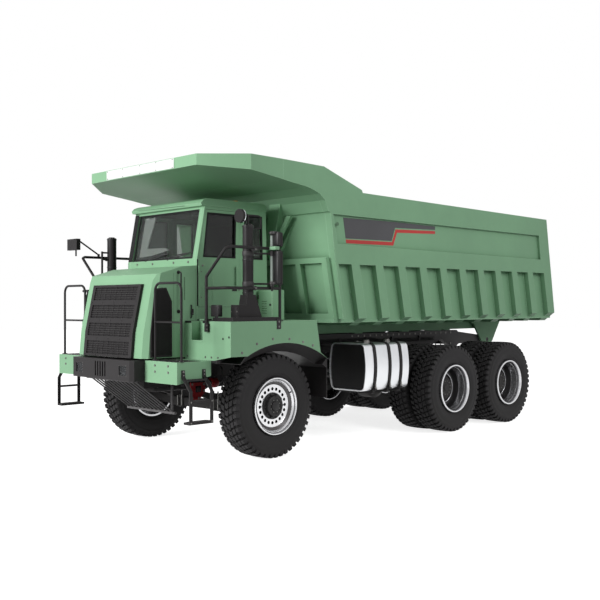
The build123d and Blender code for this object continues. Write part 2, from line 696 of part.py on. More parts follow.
def make_cab():
    inner_x, outer_x = cab_half - cab_wall, cab_half
    side = slab(cab_side_outline(), "X", inner_x, outer_x) - slab(door_outline(seam), "X", 0, 2000)
    quarter = [(120, window_low_z), (120, window_top_z), (470, window_top_z), (480, window_low_z)]
    side -= slab(quarter, "X", 0, 2000)
    save("cab_side_left", side)
    save("cab_side_right", mirrored(side))

    save("cab_floor", block((-inner_x, inner_x), (cab_front_y, cab_rear_y - 2),
                            (cab_floor_z, cab_floor_z + cab_wall)))

    low = cab_floor_z + cab_wall
    lean = (screen_top_y - cab_front_y) / (screen_top_z - sill_z)
    top = screen_top_z + 20
    top_y = cab_front_y + lean * (top - sill_z)
    front = slab([(cab_front_y, low), (cab_front_y, sill_z), (top_y, top), (top_y + cab_wall, top),
                  (cab_front_y + cab_wall, sill_z), (cab_front_y + cab_wall, low)], "X", -inner_x, inner_x)
    glass_low, glass_top, glass_half = sill_z + 10, screen_top_z - 20, 760
    front -= block((-glass_half, glass_half), (-1000, 0), (glass_low, glass_top))
    save("cab_front", front)

    rear_lean = 40 / (top - cab_floor_z)
    back_top = cab_rear_y - 40
    back_low = cab_rear_y - rear_lean * cab_wall
    back = slab([(back_low, low), (back_top, top), (back_top - cab_wall, top), (back_low - cab_wall, low)],
                "X", -inner_x, inner_x)
    rear_half, rear_low, rear_top = 560, 2900, 3450
    back -= block((-rear_half, rear_half), (300, 800), (rear_low, rear_top))
    save("cab_rear", back)

    roof = slab([(top_y - 60, top), (top_y - 75, top + 40), (top_y - 30, roof_z - 25), (top_y + 40, roof_z),
                 (back_top - 60, roof_z), (back_top + 10, roof_z - 30), (back_top + 10, top)],
                "X", -cab_half - 8, cab_half + 8)
    save("cab_roof", roof)

    glass_t = 6
    mid_off = cab_wall / 2
    screen_line = [(cab_front_y + mid_off, sill_z), (screen_top_y + mid_off, screen_top_z)]
    back_line = [(cab_rear_y - mid_off, cab_floor_z), (back_top - mid_off, top)]
    screen = slab(pane(screen_line, glass_low, glass_top, glass_t), "X", -glass_half, glass_half)
    rear_glass = slab(pane(back_line, rear_low, rear_top, glass_t), "X", -rear_half, rear_half)
    quarter_glass = slab(quarter, "X", outer_x - mid_off, outer_x - mid_off + glass_t)
    save("cab_glass", screen, rear_glass, *both(quarter_glass))


def make_doors():
    inner_x = cab_half - cab_wall
    door = slab(door_outline(), "X", inner_x, cab_half) - slab(window_outline(), "X", 0, 2000)
    pull = rod((cab_half + 30, door_rear_y - 90, 2480), (cab_half + 30, door_rear_y - 90, 2760), 11)
    feet = [rod((cab_half - 5, door_rear_y - 90, z), (cab_half + 30, door_rear_y - 90, z),
                9) for z in (2500, 2740)]
    hinges = []
    for z in door_hinge_z:
        hinges.append(rod((door_hinge_x, door_hinge_y, z), (door_hinge_x, door_hinge_y, z + 100), 11))
        hinges.append(block((cab_half - 5, door_hinge_x), (door_hinge_y + 2, door_hinge_y + 16), (z + 20, z + 80)))
    door = union([door, pull, *feet, *hinges])
    glass = slab(window_outline(), "X", cab_half - cab_wall / 2, cab_half - cab_wall / 2 + 6)
    save("door_left", door)
    save("door_right", mirrored(door))
    save("door_glass_left", glass)
    save("door_glass_right", mirrored(glass))


def make_interior():
    floor_z = cab_floor_z + cab_wall
    seat_y, cushion_z = 60, 2480
    seats = []
    for x in (380, -380):
        base = block((x - 150, x + 150), (seat_y - 120, seat_y + 160), (floor_z, cushion_z - 110))
        cushion = block((x - 250, x + 250), (seat_y - 250, seat_y + 230), (cushion_z - 110, cushion_z))
        back = slab([(seat_y + 150, cushion_z), (seat_y + 250, cushion_z + 620),
                     (seat_y + 340, cushion_z + 620),
                     (seat_y + 280, cushion_z)], "X", x - 230, x + 230)
        head = block((x - 130, x + 130), (seat_y + 260, seat_y + 340), (cushion_z + 620, cushion_z + 800))
        seats.append(union([base, cushion, back, head]))
    save("seats", *seats)
    front_y = cab_front_y + cab_wall
    dash = slab([(front_y, floor_z + 400), (front_y, 2800), (front_y + 120, 2810), (front_y + 330, 2720),
                 (front_y + 300, 2480), (front_y + 170, 2400), (front_y + 170, floor_z + 400)], "X", -780,
                 780)
    column = rod((380, front_y + 170, 2560), (380, front_y + 400, 2760), 35)
    wheel_plane = Plane(origin=(380, front_y + 400, 2760), z_dir=(0, 230, 200))
    ring = wheel_plane * Torus(215, 16)
    spoke = wheel_plane * Box(420, 50, 16)
    console = block((-120, 120), (-250, 300), (floor_z, 2420))
    save("dashboard", union([dash, column, spoke, ring]), console)


# Decks, arches, rails and ladders
def arch_angle(y):
    """The angle from upright, in degrees, at which the arch's edge passes a station."""
    return degrees(asin(y / arch_r))


def arch_point(radius, angle):
    """A point of the arch in Y and Z, so far from its centre and so many degrees from upright."""
    return radius * sin(radians(angle)), arch_centre_z + radius * cos(radians(angle))


def make_decks():
    arch_front, arch_rear = -730, flap_y
    top = block((deck_in_x, deck_out_x), (deck_front_y, deck_rear_y), (deck_top_z - plate, deck_top_z))
    wall = slab([(deck_front_y, deck_top_z - 6), (deck_rear_y, deck_top_z - 6), (723, deck_low_z),
                 (arch_rear, 1405),
                 (arch_front, deck_low_z), (deck_front_y, deck_low_z)], "X", deck_out_x - plate, deck_out_x)
    wall -= rod((deck_out_x - 100, 0, arch_centre_z), (deck_out_x + 100, 0, arch_centre_z), arch_r)
    front_low, step_x = 1432, 1508
    front = slab([(deck_in_x, deck_top_z - 6), (deck_out_x, deck_top_z - 6), (deck_out_x, deck_low_z),
                  (step_x, front_low),
                  (deck_in_x, front_low)], "Y", deck_front_y, deck_front_y + plate)
    notch = ((1023, 1269), (1702, deck_top_z + 1))
    front -= block(notch[0], (deck_front_y - 1, deck_front_y + plate + 1), notch[1])
    top -= block(notch[0], (deck_front_y - 1, deck_front_y + 150), notch[1])
    lining = block((notch[0][0] - plate, notch[0][1] + plate), (deck_front_y + 1, deck_front_y + 162),
                   (notch[1][0] - plate, deck_top_z - 6))
    lining -= block(notch[0], (deck_front_y - 1, deck_front_y + 150), notch[1])
    rear = block((deck_in_x, deck_out_x - 6), (deck_rear_y - plate, deck_rear_y), (1640, deck_top_z - 6))
    deck = union([top, wall, front, lining, rear])
    save("deck_left", deck)
    save("deck_right", mirrored(deck))

    inner_r = arch_r - liner_drop
    outer_x, slope_x = deck_out_x - plate - gap, 1690
    profile = [(outer_x, arch_r - 2), (slope_x, inner_r), (liner_in_x, inner_r),
               (liner_in_x, inner_r + plate),
               (slope_x - 5, inner_r + plate), (outer_x - 5, arch_r + plate - 4),
               (outer_x, arch_r + plate - 4)]
    first, last = arch_angle(arch_front), arch_angle(arch_rear)
    liner = turned(profile, (0, 0, arch_centre_z), last - first, -last)
    flap_t, lap = 14, 1.0
    flap = slab([arch_point(inner_r + 1, last - lap), arch_point(inner_r + plate - 1, last - lap),
                 (flap_y, 1398), (flap_y + flap_t, 1394),
                 (flap_y + flap_t, flap_low_z), (flap_y, flap_low_z), (flap_y, 1262)], "X", liner_in_x,
                 outer_x)
    save("wheel_arches", *both(union([liner, flap])))


def make_rails():
    tube_r, bend = handrail_r, 90
    post_x, front_y, side = 1390, handrail_y, handrail_x
    top_z, mid_z, foot_z = handrail_top_z, 2419, 1824
    rear_y = -75
    top_rail = bent_tube([(post_x, front_y, foot_z), (post_x, front_y, 2580), (side - 40, front_y, 2950),
                          (side, front_y + 60, top_z), (side, rear_y, top_z), (side, rear_y, deck_top_z)],
                          tube_r, 28)
    mid_rail = bent_tube([(post_x, front_y, mid_z), (side, front_y, mid_z), (side, rear_y, mid_z)], tube_r,
                         bend)
    bracket = block((post_x - 35, post_x + 35), (front_y - 10, deck_front_y), (foot_z, deck_top_z - 30))
    toe_side = block((deck_out_x - 14, deck_out_x - 4), (deck_front_y + 40, -100),
                     (deck_top_z, deck_top_z + 55))
    toe_front = block((1440, deck_out_x - 14), (deck_front_y + 40, deck_front_y + 50),
                      (deck_top_z, deck_top_z + 55))
    deck_rail = union([top_rail, mid_rail, bracket, toe_side, toe_front])
    grab_y, grab_in, grab_out, grab_top, grab_mid = -1530, 900, 1490, 2487, 1960
    grab = bent_tube([(grab_in, grab_y, bumper_top_z), (grab_in, grab_y, grab_top),
                      (grab_out, grab_y, grab_top),
                      (grab_out, grab_y, bumper_top_z)], 17, 110)
    cross = rod((grab_in, grab_y, grab_mid), (grab_out, grab_y, grab_mid), 14)
    save("handrails", *both(deck_rail), *both(union([grab, cross])))


def make_ladders():
    stile_y, top_z, bend_z, low_z, reach = (-1523, -1175), 1330, 1060, 621, 1687
    stiles = []
    for y in stile_y:
        stiles.append(slab([(bumper_end_x + gap, top_z), (bumper_end_x + 14, top_z),
                            (bumper_end_x + 22, 1240), (reach, bend_z),
                            (reach, low_z), (reach - 14, low_z), (reach - 14, bend_z - 4),
                            (bumper_end_x + gap, 1230)],
                           "Y", y - 25, y + 25))
    rungs = [block((reach - 60, reach), stile_y, (z, z + 22)) for z in (low_z, low_z + 285)]
    low_step = block((reach - 130, reach), (stile_y[0] - 25, stile_y[1] + 25), (low_z, low_z + 30))
    high = block((bumper_end_x + 20, bumper_end_x + 70), stile_y, (low_z + 560, low_z + 582))
    save("ladders", *both(union([*stiles, *rungs, low_step, high])))


# Mirrors and their masts
def make_mirrors():
    mast_x, mast_y, mast_r, mast_top = 1700, -545, 75, 3290
    foot_top, foot_front, foot_rear = 2330, -692, -335
    foot = slab([(foot_front, deck_top_z), (foot_rear, deck_top_z), (mast_y + mast_r, foot_top),
                 (mast_y - mast_r, foot_top)], "X", mast_x - mast_r, mast_x + mast_r)
    box = block((mast_x - mast_r, mast_x + mast_r), (-792, foot_front + 40), (deck_top_z, 2190))
    mast = rod((mast_x, mast_y, foot_top - 20), (mast_x, mast_y, mast_top), mast_r)
    tube_x, tube_y, tube_r = mirror_reach - mirror_plate, -265, 15
    tube = rod((tube_x, tube_y, 2380), (tube_x, tube_y, 3190), tube_r)
    arms = [rod((mast_x, mast_y, z), (tube_x, tube_y, z), 14) for z in (2480, 2900)]
    plate_t, outer_y = 26, -190
    half_t = plate_t / 2
    plan = [(tube_x + 5, tube_y - half_t), (mirror_reach, outer_y - half_t),
            (mirror_reach, outer_y + half_t),
            (tube_x + 5, tube_y + half_t)]
    lower, upper = slab(plan, "Z", 2470, 2930), slab(plan, "Z", 3000, 3190)
    glass_y, glass_z, glass_r = -690, 3410, 95
    bracket = bent_tube([(mast_x, mast_y, mast_top - 10), (mast_x, mast_y, 3440),
                         (mast_x, glass_y + 10, 3440)], 14, 40)
    round_head = rod((mast_x, glass_y - 20, glass_z), (mast_x, glass_y + 20, glass_z), glass_r)
    loop_y, loop_low, loop_high = -308, 3250, 3430
    loop = bent_tube([(mast_x, mast_y + 30, loop_low), (mast_x, loop_y, loop_low),
                      (mast_x, loop_y, loop_high),
                      (mast_x, mast_y, loop_high)], 12, 45)
    save("mirror_left", union([foot, box, mast, tube, *arms, lower, upper, bracket, round_head, loop]))

    post_y = -730
    post = rod((-mast_x, post_y, deck_top_z), (-mast_x, post_y, 3070), 17)
    ties = [rod((-mast_x, post_y, z), (-mast_x, mast_y, z), 14) for z in (2940, 3050)]
    head_width, head_off, head_z = 290, 170, (3080, 3260)
    head_x = head_off - mirror_reach
    stem_y, bend_y = handrail_y + 320, handrail_y - 100
    foot_low = handrail_top_z + handrail_r + gap
    stem = union([bent_tube([(-handrail_x, stem_y, handrail_top_z + 45), (head_x, bend_y, head_z[1] + 10),
                             (head_x, bend_y, handrail_top_z + 10)], 13, 20),
                  rod((-handrail_x, stem_y, foot_low), (-handrail_x, stem_y, handrail_top_z + 60), 20)])
    head = block((-mirror_reach, head_width - mirror_reach), (bend_y - 60, bend_y + 10), head_z)
    save("mirror_right", union([mirrored(foot), mirrored(box), mirrored(mast), post, *ties]),
         union([stem, head]))


# Tanks
def rounded_tank(x, y, z, radius):
    tank = block(x, y, z)
    return fillet(tank.edges().filter_by(Axis.Y), radius)


def make_tanks():
    length = (tank_front_y, tank_rear_y)
    save("fuel_tank", rounded_tank((tank_in_x, 1790), length, (750, 1580), 110))
    save("hydraulic_tank", rounded_tank((-1700, -tank_in_x), length, (800, 1560), 80))


# Rock body
def side_line():
    """The body side's outline behind the canopy, from the canopy joint round to it again."""
    joint_y = canopy_joint[0]
    return [(joint_y, canopy_top_z - 8), (815, canopy_top_z - 25), (rim_drop_y, rim_drop_z),
            (rim_drop_y + 21, 3916), body_rear_top, body_rear_low, *body_front[::-1],
            *headboard_curve[::-1], canopy_joint]


def leaning(y, z):
    """Where a leaning rib's edge, at station y half way up, is at another height."""
    return y - rib_lean * (z - rib_mid_z)


def side_low(y):
    """Height of the side plates' lower edge at a station."""
    (front_y, front_z), (back_y, back_z) = body_front[2], body_rear_low
    return front_z + (back_z - front_z) * (y - front_y) / (back_y - front_y)


def rib_edges():
    """The first and last station of each rib, half way up."""
    starts = [rib_first_y + rib_pitch * step for step in range(rib_count)]
    return [(start, start + rib_width) for start in starts]


def rib_foot(start, end, x, z):
    """The slanted underside that a pair of ribs shares, kept between two values of x and of z."""
    first, last = leaning(start, body_front[2][1]), leaning(end, body_front[2][1])
    top = side_low(last) + 1
    under = slab([(-side_x, top), (-floor_half, body_low_z), (floor_half, body_low_z), (side_x, top)], "Y",
                 first, last)
    return under & block(x, (first - 1, last + 1), z)


def body_side():
    """One side: a skin with bands along its top and middle, leaning ribs below and a frame at its rear."""
    inner_x = side_x - body_side_wall
    wall = slab(side_line(), "X", inner_x, side_x)
    panel_depth = 45
    panel = [(1013, 3545), (6899, 3534), (6963, 3065), (1104, 3104)]
    wall -= slab(panel, "X", side_x - panel_depth, side_x + 1)
    start_y = canopy_joint[0] - 1
    above = [(start_y, canopy_top_z - 58), (790, canopy_top_z - 73), (1560, 3880), (1113, 3620),
             (760, 3850),
             (start_y, canopy_joint[1] + 48)]
    wall -= slab(above, "X", inner_x - 1, side_x - skin)
    edges = rib_edges()
    corner, frame_y = 1204, 7165
    bays = zip([corner] + [rear for _, rear in edges], [front for front, _ in edges] + [frame_y])
    low_z = body_front[2][1] - 60
    for start, end in bays:
        pocket = [(leaning(start, rib_top_z), rib_top_z), (leaning(end, rib_top_z), rib_top_z),
                  (leaning(end, low_z), low_z), (leaning(start, low_z), low_z)]
        wall -= slab(pocket, "X", inner_x + skin, side_x + 1)
    foot = slab([(floor_front_y, floor_top_z), (tail_y, floor_top_z),
                 (body_rear_low[0] + 2, body_rear_low[1] + 2),
                 (body_front[2][0] + 2, body_front[2][1] + 2)], "X", inner_x, inner_x + skin)
    feet = [rib_foot(start, end, (inner_x, side_x), (floor_top_z, rib_mid_z)) for start,
            end in edges + [tail_band]]
    return union([wall, foot, *feet])


def floor_beam(side):
    """What hangs under the floor on one side (1 left, -1 right): beam, pads, hinge ear and hoist lugs."""
    beam_front_y, beam_rear_y, ear_front_y, ear_t = 1400, 7100, hinge_y - 540, 40
    ear_x = (side * (rail_out_x + seam), side * (rail_out_x + seam + ear_t))
    eye_y, eye_z = hoist_eye
    parts = [block((side * beam_in_x, side * beam_out_x), (beam_front_y, beam_rear_y),
                   (beam_low_z, floor_top_z - 2))]
    ear = [(hinge_y - 520, body_low_z), (hinge_y - 190, hinge_z - 40), (hinge_y - 90, hinge_z - 85),
           (hinge_y + 90, hinge_z - 85), (hinge_y + 190, hinge_z - 40), (tail_y - 130, body_low_z)]
    parts.append(slab(ear, "X", *sorted(ear_x)))
    for y in pad_stations:
        parts.append(block((side * (rail_in_x + 5), side * (beam_out_x - 5)), (y - 100, y + 100),
                           (rail_top_z + gap, beam_low_z + 2)))
    parts.append(block((side * (beam_out_x - 10), ear_x[1]), (ear_front_y, beam_rear_y),
                       (body_low_z - 60, body_low_z + 10)))
    for off in (-1, 1):
        near = side * hoist_x + off * (hoist_eye_half + seam)
        lug = [(eye_y - 90, body_low_z + 20), (eye_y - 50, eye_z - 50), (eye_y + 50, eye_z - 50),
               (eye_y + 90, body_low_z + 20)]
        parts.append(slab(lug, "X", *sorted((near, near + off * lug_t))))
    return parts


def make_body_floor():
    reach = side_x - body_side_wall + skin
    parts = [block((-reach, reach), (floor_front_y, tail_y), (floor_top_z - skin, floor_top_z))]
    for start, end in rib_edges() + [tail_band]:
        parts.append(rib_foot(start, end, (-reach, reach), (body_low_z, floor_top_z - 2)))
    parts += floor_beam(1) + floor_beam(-1)
    wear_reach = side_x - body_side_wall - 45
    parts.append(block((-wear_reach, wear_reach), (floor_front_y + 60, tail_y - 60), (floor_top_z - 2, wear_top_z)))
    eye_y = hoist_eye[0]
    parts.append(block((-beam_out_x, beam_out_x), (eye_y - 110, eye_y + 110),
                       (body_low_z, floor_top_z - 2)))
    bore = rod((-beam_out_x - 200, hinge_y, hinge_z), (beam_out_x + 200, hinge_y, hinge_z),
               hinge_pin_r + pin_gap)
    save("body_floor", union(parts) - bore)


def make_body_front():
    """The headboard: a sheet that runs up to the canopy, with posts and beams ahead of its lower part."""
    inner_x = side_x - body_side_wall
    front_line = [canopy_joint, *headboard_curve, *body_front]
    back_line = [(y + skin, z + skin * 0.6) for y, z in front_line]
    back_line[0] = (canopy_joint[0], canopy_joint[1] + skin)
    back_line[-1] = (front_line[-1][0] + skin, front_line[-1][1])
    sheet = slab(front_line + back_line[::-1], "X", -inner_x, inner_x)
    depth, half, post_pitch, beam_h = 90, 50, 565, 76
    (top_y, top_z), (low_y, low_z) = body_front[1:]
    posts = [slab([(top_y, top_z), (low_y, low_z), (low_y - depth, low_z), (top_y - depth, top_z)], "X",
                  step * post_pitch - half, step * post_pitch + half) for step in range(-3, 4)]
    top_beam = slab([(top_y, top_z), (top_y - 12, top_z + 80), (top_y - 12 - depth, top_z + 80),
                     (top_y - depth, top_z)], "X", -inner_x, inner_x)
    inside_y = at(body_front[1:], low_z + beam_h)
    low_beam = slab([(low_y, low_z), (inside_y, low_z + beam_h), (inside_y - depth, low_z + beam_h),
                     (low_y - depth, low_z)], "X", -inner_x, inner_x)
    foot = block((-inner_x, inner_x), (low_y - depth, floor_front_y), (floor_top_z - skin, low_z + 2))
    save("body_front", union([sheet, top_beam, low_beam, foot, *posts]))


def make_body():
    side = body_side()
    save("body_side_left", side)
    save("body_side_right", mirrored(side))
    make_body_floor()
    make_body_front()


def make_canopy():
    joint_y, joint_z = canopy_joint
    below, above, edge = joint_z - 100, canopy_top_z + 100, 8
    plan = [(-canopy_half, canopy_y), (canopy_half, canopy_y), (side_x, canopy_side_y), (side_x, joint_y),
            (-side_x, joint_y), (-side_x, canopy_side_y)]
    inner = [(-canopy_half + edge, canopy_y + skin), (canopy_half - edge, canopy_y + skin),
             (side_x - skin, canopy_side_y + edge), (side_x - skin, 100), (-side_x + skin, 100),
             (-side_x + skin, canopy_side_y + edge)]
    outline = [(canopy_y - 1, canopy_low_z), (canopy_y - 1, canopy_top_z), (joint_y + 1, canopy_top_z - 8),
               (joint_y + 1, joint_z)]
    outer = slab(plan, "Z", below, canopy_top_z) & slab(outline, "X", -side_x, side_x)
    room_line = [(canopy_y - 1, canopy_low_z + skin), (canopy_y - 1, above), (200, above),
                 (200, joint_z + skin - 26), (joint_y, joint_z + skin)]
    room = slab(inner, "Z", below, above) & slab(room_line, "X", -side_x, side_x)
    front_y = canopy_y + skin - 1
    rib = [(front_y, canopy_low_z + skin - 2), (front_y, canopy_low_z + 110), (joint_y, joint_z + 140),
           (joint_y, joint_z + skin - 2)]
    ribs = [slab(rib, "X", x - 30, x + 30) for x in range(-1200, 1201, 600)]
    save("canopy", union([outer - room, *ribs]))


# Hoist
def make_hoist():
    base_y, base_z = hoist_base
    eye_y, eye_z = hoist_eye
    length = hypot(eye_y - base_y, eye_z - base_z)
    ahead = Vector(0, (eye_y - base_y) / length, (eye_z - base_z) / length)
    barrels, rods = [], []
    for x in (-hoist_x, hoist_x):
        base = Vector(x, base_y, base_z)
        eye = Vector(x, eye_y, eye_z)
        gland = base + ahead * hoist_barrel_length
        knuckle_eye = rod((x - hoist_eye_half, base_y, base_z), (x + hoist_eye_half, base_y, base_z), 78)
        barrel = union([knuckle_eye, rod(tuple(base + ahead * 70), tuple(gland), hoist_barrel_r)])
        barrel -= rod((x - 120, base_y, base_z), (x + 120, base_y, base_z), hoist_pin_r + pin_gap)
        barrel -= rod(tuple(base + ahead * 130), tuple(gland + ahead), hoist_rod_r + gap)
        barrels.append(barrel)
        stem = rod(tuple(base + ahead * 135), tuple(eye - ahead * 40), hoist_rod_r)
        end = rod((x - hoist_eye_half, eye_y, eye_z), (x + hoist_eye_half, eye_y, eye_z), hoist_eye_r)
        rods.append(union([stem, end]))
    save("hoist_barrels", *barrels)
    save("hoist_rods", *rods)


make_wheels()
make_front_axle()
make_steering()
make_rear_axles()
make_suspension()
make_frame()
make_engine()
make_driveline()
make_bumper()
make_underguard()
make_hood()
make_grille()
make_cab()
make_doors()
make_interior()
make_decks()
make_rails()
make_ladders()
make_mirrors()
make_tanks()
make_body()
make_canopy()
make_hoist()

os.makedirs("parts", exist_ok=True)
for name, shape in pieces.items():
    export_step(shape, f"parts/{name}.step")
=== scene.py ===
"""A mining dump truck on three axles, dressed for the camera: materials, tyres, rims, glass and small parts.

Metres. X points to the truck's left, Y to its rear and Z up from the ground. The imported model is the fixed
frame, and what is added here takes its place and size from it. Stations along Y are counted from the front
axle, as in the part's own source, and Shape.done() moves them to the frame's origin.
"""

import json
import math

import bmesh
import bpy
from mathutils import Matrix, Vector


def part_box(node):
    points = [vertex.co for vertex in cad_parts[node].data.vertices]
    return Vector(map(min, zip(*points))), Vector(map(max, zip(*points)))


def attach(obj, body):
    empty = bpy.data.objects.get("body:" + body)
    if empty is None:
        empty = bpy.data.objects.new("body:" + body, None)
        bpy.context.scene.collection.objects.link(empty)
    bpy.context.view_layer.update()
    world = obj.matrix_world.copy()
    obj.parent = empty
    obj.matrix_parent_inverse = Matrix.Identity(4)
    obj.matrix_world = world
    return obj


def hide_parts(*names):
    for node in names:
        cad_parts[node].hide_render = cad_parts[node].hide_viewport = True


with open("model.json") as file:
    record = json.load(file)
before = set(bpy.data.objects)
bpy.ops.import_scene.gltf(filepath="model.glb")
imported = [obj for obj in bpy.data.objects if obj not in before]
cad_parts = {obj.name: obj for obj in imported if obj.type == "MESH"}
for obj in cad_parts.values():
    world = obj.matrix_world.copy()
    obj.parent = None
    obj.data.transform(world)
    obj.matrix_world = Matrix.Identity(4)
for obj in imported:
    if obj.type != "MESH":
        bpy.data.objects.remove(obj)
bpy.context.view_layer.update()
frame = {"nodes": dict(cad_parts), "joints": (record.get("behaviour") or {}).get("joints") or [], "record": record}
scene = bpy.context.scene

# Places that the whole dress shares
mounted = {joint["name"]: Vector(joint["pos_m"]) for joint in frame["joints"] if "pos_m" in joint}
station_0 = mounted["steer_left"].y
axle_z = mounted["front_roll_left"].z
tyre_r = axle_z
front_x = mounted["front_roll_left"].x
mid_y = mounted["mid_roll_left"].y - station_0
rear_y = mounted["rear_roll_left"].y - station_0
outer_x, inner_x = 1.728, 1.238
hood_x, wall_x, recess_x = 0.8665, 0.866, 1.811
mast_x, mast_y = 1.70, -0.545
SIDES = {"left": 1, "right": -1}


# Mesh tools
def circle(count, start=0.0):
    """The sine and cosine of angles spaced evenly round a circle."""
    return [(math.sin(angle), math.cos(angle))
            for angle in (start + 2 * math.pi * step / count for step in range(count))]


def turned(degrees, axis):
    return Matrix.Rotation(math.radians(degrees), 4, axis)


def shade(mesh, smooth_below):
    """Smooth shading, except at edges sharper than an angle."""
    mesh.shade_smooth()
    mesh.set_sharp_from_angle(angle=math.radians(smooth_below))


def add_object(name, data, materials, body):
    """Links a mesh or curve as one piece that rides on a body."""
    obj = bpy.data.objects.new(name, data)
    scene.collection.objects.link(obj)
    for each in materials:
        data.materials.append(each)
    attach(obj, body)
    return obj


class Shape:
    """A working mesh in stations. Every x is multiplied by its sign, so the same numbers make both sides.
    Paint is the place of a solid's material in the finished piece."""

    def __init__(self, sign=1):
        self.bm = bmesh.new()
        self.sign = sign

    def sides(self):
        """Runs a loop once for the left and once for the right, and turns back to the left."""
        for self.sign in (1, -1):
            yield self.sign
        self.sign = 1

    def at(self, point):
        x, y, z = point
        return Vector((self.sign * x, y, z))

    def mark(self, made, paint):
        """Gives the faces round some new points their paint."""
        for vert in made:
            for face in vert.link_faces:
                face.material_index = paint

    def soften(self, edges, offset):
        bmesh.ops.bevel(self.bm, geom=edges, offset=offset, segments=2, profile=0.6, affect="EDGES",
                        material=-1)

    def box(self, low, high, bevel=0.0, paint=0, turn=None):
        """A box between two corners, turned about its middle if asked, with bevelled edges."""
        low, high = self.at(low), self.at(high)
        size = [abs(far - near) for near, far in zip(low, high)]
        place = Matrix.Translation((low + high) / 2) @ (turn or Matrix()) @ Matrix.Diagonal((*size, 1))
        made = bmesh.ops.create_cube(self.bm, size=1, matrix=place)["verts"]
        self.mark(made, paint)
        if bevel:
            self.soften(list({edge for vert in made for edge in vert.link_edges}), bevel)

    def rod(self, start, end, radius, sides=20, paint=0, bevel=0.0, end_radius=None):
        """A round bar or cone between two points."""
        start, end = self.at(start), self.at(end)
        along = end - start
        place = Matrix.Translation((start + end) / 2) @ along.to_track_quat("Z", "Y").to_matrix().to_4x4()
        far = radius if end_radius is None else end_radius
        made = bmesh.ops.create_cone(self.bm, cap_ends=True, segments=sides, radius1=radius, radius2=far,
                                     depth=along.length, matrix=place)["verts"]
        self.mark(made, paint)
        if bevel:
            edges = {edge for vert in made for face in vert.link_faces for edge in face.edges}
            ends = [edge for edge in edges if any(len(face.verts) > 4 for face in edge.link_faces)]
            self.soften(ends, bevel)

    def post(self, x, y, low, high, radius, sides=20, paint=0, bevel=0.0, end_radius=None):
        """A round bar or cone that stands upright."""
        self.rod((x, y, low), (x, y, high), radius, sides, paint, bevel, end_radius)

    def bolt(self, place, out, radius=0.013, height=0.010, paint=0):
        """A hexagon head on a washer, standing out from a surface."""
        place, out = Vector(place), Vector(out).normalized()
        self.rod(place - out * 0.002, place + out * 0.0025, radius * 1.5, 14, paint)
        self.rod(place, place + out * height, radius, 6, paint, end_radius=radius * 0.94)

    def bridge(self, rings, paint=0, loop=False, caps=None, open_rings=False):
        """Faces between neighbouring rings of points, and over the end rings if they have a paint."""
        rings = [[self.bm.verts.new(point) for point in ring] for ring in rings]
        count = len(rings[0])
        for here, there in zip(rings, rings[1:] + rings[:1] * loop):
            for point in range(count - open_rings):
                after = (point + 1) % count
                corners = (here[point], there[point], there[after], here[after])
                self.bm.faces.new(corners).material_index = paint
        for ring in () if caps is None else (rings[0][::-1], rings[-1]):
            self.bm.faces.new(ring).material_index = caps
        return rings

    def ring(self, profile, centre, steps=96, paint=0):
        """A closed (x, radius) outline turned about an axis along X through the centre."""
        x0, y0, z0 = centre
        self.bridge([[self.at((x0 + x, y0 + r * sin, z0 + r * cos)) for x, r in profile]
                     for sin, cos in circle(steps)], paint, loop=True)

    def disc(self, profile, centre, steps=64, paint=0, turn=None):
        """An open (x, radius) line from the axis out and back, turned about X. Its ends lie on the axis."""
        place = Matrix.Translation(centre) @ (turn or Matrix())
        ends = (profile[0][0], profile[-1][0])
        tips = [self.bm.verts.new(self.at(place @ Vector((x, 0, 0)))) for x in ends]
        rings = self.bridge([[self.at(place @ Vector((x, r * sin, r * cos))) for x, r in profile[1:-1]]
                             for sin, cos in circle(steps)], paint, loop=True, open_rings=True)
        for here, there in zip(rings, rings[1:] + rings[:1]):
            for tip, point in zip(tips, (0, -1)):
                self.bm.faces.new((tip, there[point], here[point])).material_index = paint

    def slab(self, outline, axis, low, high, paint=0):
        """A plate across one axis, with its outline given in the two other axes in X, Y, Z order."""
        cut = "XYZ".index(axis)
        rings = [[self.at((*pair[:cut], level, *pair[cut:])) for pair in outline] for level in (low, high)]
        self.bridge(rings, paint, caps=paint)

    def strip(self, points, out, width, thick, paint=0, closed=False):
        """A flat band along a line of points: so wide across the line and so thick out from the surface."""
        points, out = [self.at(point) for point in points], self.at(out).normalized()
        last = len(points) - 1
        rings = []
        for index, point in enumerate(points):
            runs = [point - points[index - 1], points[(index + 1) % len(points)] - point]
            if not closed:
                runs = runs[index == 0:2 - (index == last)]
            runs = [run.normalized() for run in runs]
            across = sum(runs, Vector()).normalized().cross(out).normalized()
            reach = width / 2 / max(0.3, abs(across.dot(runs[0].cross(out).normalized())))
            rings.append([point + across * side * reach + out * up * thick
                          for side, up in ((-1, 0), (-1, 1), (1, 1), (1, 0))])
        self.bridge(rings, paint, loop=closed, caps=None if closed else paint)

